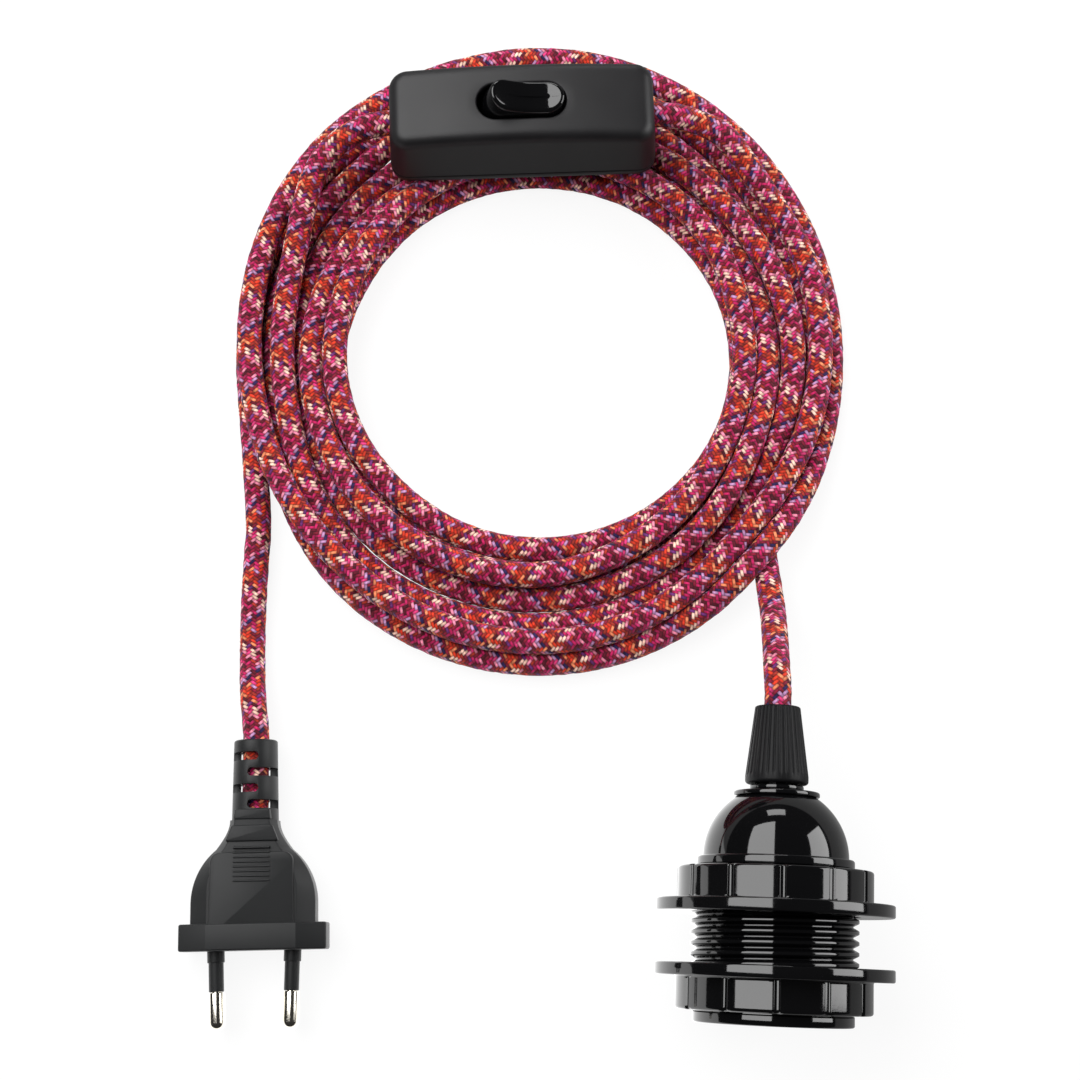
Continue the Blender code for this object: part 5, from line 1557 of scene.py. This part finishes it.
def build_tray():
    levels = ((0.0006, 0.0), (0.0002, 0.0002), (0.0, 0.0006), (0.0, BASE_H - 0.0002), (0.0002, BASE_H),
              (SWITCH_WALL + GAP, BASE_H), (SWITCH_WALL + GAP, TRAY_FLOOR))
    rings = [level_ring(inset, height) for inset, height in levels]
    half = CORD_HOLE_R - GAP
    reach = math.acos(half / CORD_HOLE_R)
    cradle = swept_arc((0.0, CORD_ENTRY_H), CORD_HOLE_R, -reach, reach - math.pi, 20)
    cradles = []
    for side in (-1, 1):
        outline = [(-half, BASE_H - 0.0006), (half, BASE_H - 0.0006), *cradle]
        ends = (side * (SWITCH_LENGTH / 2 - SWITCH_WALL), side * SWITCH_LENGTH / 2)
        cradles.append(skinned([[Vector((x, y, z)) for y, z in outline] for x in ends]))
    tray = piece("switch_tray", gathered(skinned(rings), *cradles), SHELL_SATIN, switch_place, 50.0)
    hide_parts("switch_base")
    fitted(tray, "body")
    return tray


switch_pieces = [build_cover(), build_tray()]


# Rocker. A glossy black moulding with a high end, a low end and a dish between them, which turns on a steel
# pin and closes the opening with a skirt; a short stroke is marked on the low end. Sprung contacts lie under
# it, and a plated clamp with two screws holds the cord at each end of the tray.
ROCKER_BLACK = moulded_finish("glossy_rocker", "040405", "0A0A0B", 0.03, 0.07, 300.0, 0.000006)
ROCKER_LENGTH = 0.0210
ROCKER_TOP_LENGTH = 0.0194
ROCKER_W = 0.0092
ROCKER_TOP_W = 0.0088
ROCKER_WALL = 0.0016
ROCKER_HEM = -0.0032
ROCKER_EDGE_R = 0.0012
ROCKER_RISE = 0.0049
ROCKER_SKIRT = 0.0036
ROCKER_DISH = 0.0026
ROCKER_FLARE = 0.0007
ROCKER_SIDE_TOP = 0.0010
ROCKER_HOLLOW_INSET = 0.0025
HOLLOW_TOP_INSET = 0.0028
HOLLOW_ROOF = 0.0014
STROKE_W = 0.00032
STROKE_RISE = 0.00007
STROKE_SINK = 0.0002
STROKE_STATIONS = (0.0064, 0.0070, 0.0076, 0.0082)
ROCKER_TILT = math.radians(12)
PIVOT_H = 0.0156
PIVOT_DROP = SWITCH_H - PIVOT_H
rocker_place = switch_place @ Matrix.Translation((0.0, 0.0, PIVOT_H)) @ Matrix.Rotation(ROCKER_TILT, 4, "Y")


def rocker_dish(x, middle):
    """The height of the rocker's dished face at a distance from its pivot."""
    return middle + ROCKER_DISH * (2 * x / ROCKER_LENGTH) ** 2


def rocker_ring(length, width, height, dished=False):
    outline = rounded_outline(length, width, width / 2 - 0.00001, 20, 2, 14)
    return [Vector((x, y, rocker_dish(x, height) if dished else height)) for x, y in outline]


def build_rocker():
    top = PIVOT_DROP + ROCKER_RISE - ROCKER_DISH
    inner_w = ROCKER_W - 2 * ROCKER_WALL
    rings = [
        rocker_ring(ROCKER_LENGTH - 2 * HOLLOW_TOP_INSET, inner_w, PIVOT_DROP - ROCKER_SKIRT + HOLLOW_ROOF),
        rocker_ring(ROCKER_LENGTH - 2 * ROCKER_HOLLOW_INSET, inner_w, ROCKER_HEM),
        rocker_ring(ROCKER_LENGTH - 2 * ROCKER_FLARE, ROCKER_W, ROCKER_HEM),
        rocker_ring(ROCKER_LENGTH, ROCKER_W, 0.0),
        rocker_ring(ROCKER_LENGTH, ROCKER_W, PIVOT_DROP - ROCKER_SIDE_TOP),
    ]
    for inset, rise in swept_arc((ROCKER_EDGE_R, 0.0), ROCKER_EDGE_R, math.pi, math.pi / 2, 8):
        rings.append(rocker_ring(ROCKER_TOP_LENGTH - 2 * inset, ROCKER_TOP_W - 2 * inset,
                                 top - ROCKER_EDGE_R + rise, True))
    flat_length, flat_w = ROCKER_TOP_LENGTH - 2 * ROCKER_EDGE_R, ROCKER_TOP_W - 2 * ROCKER_EDGE_R
    for share in (0.75, 0.5, 0.25, 0.05):
        rings.append(rocker_ring(flat_length - flat_w * (1 - share), flat_w * share, top, True))
    stroke = []
    half = STROKE_W / 2
    for x in STROKE_STATIONS:
        low, high = rocker_dish(x, top) - STROKE_SINK, rocker_dish(x, top) + STROKE_RISE
        corners = ((-half, low), (half, low), (half, high), (-half, high))
        stroke.append([Vector((x, y, z)) for y, z in corners])
    rocker = piece("rocker_key", gathered(skinned(rings), skinned(stroke)), ROCKER_BLACK, rocker_place, 60.0)
    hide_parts("rocker")
    fitted(rocker, "rocker")
    return rocker


switch_pieces.append(build_rocker())
STEEL_WORKS = ["rocker_pivot", "rocker_spring", "rocker_plunger", "cord_clamp_left", "cord_clamp_right",
               "clamp_screw_left_1", "clamp_screw_left_2", "clamp_screw_right_1", "clamp_screw_right_2"]
BRASS_WORKS = ["contact_arm", "pivot_contact", "fixed_contact"]
dressed(STEEL, *STEEL_WORKS)
dressed(BRASS, *BRASS_WORKS)
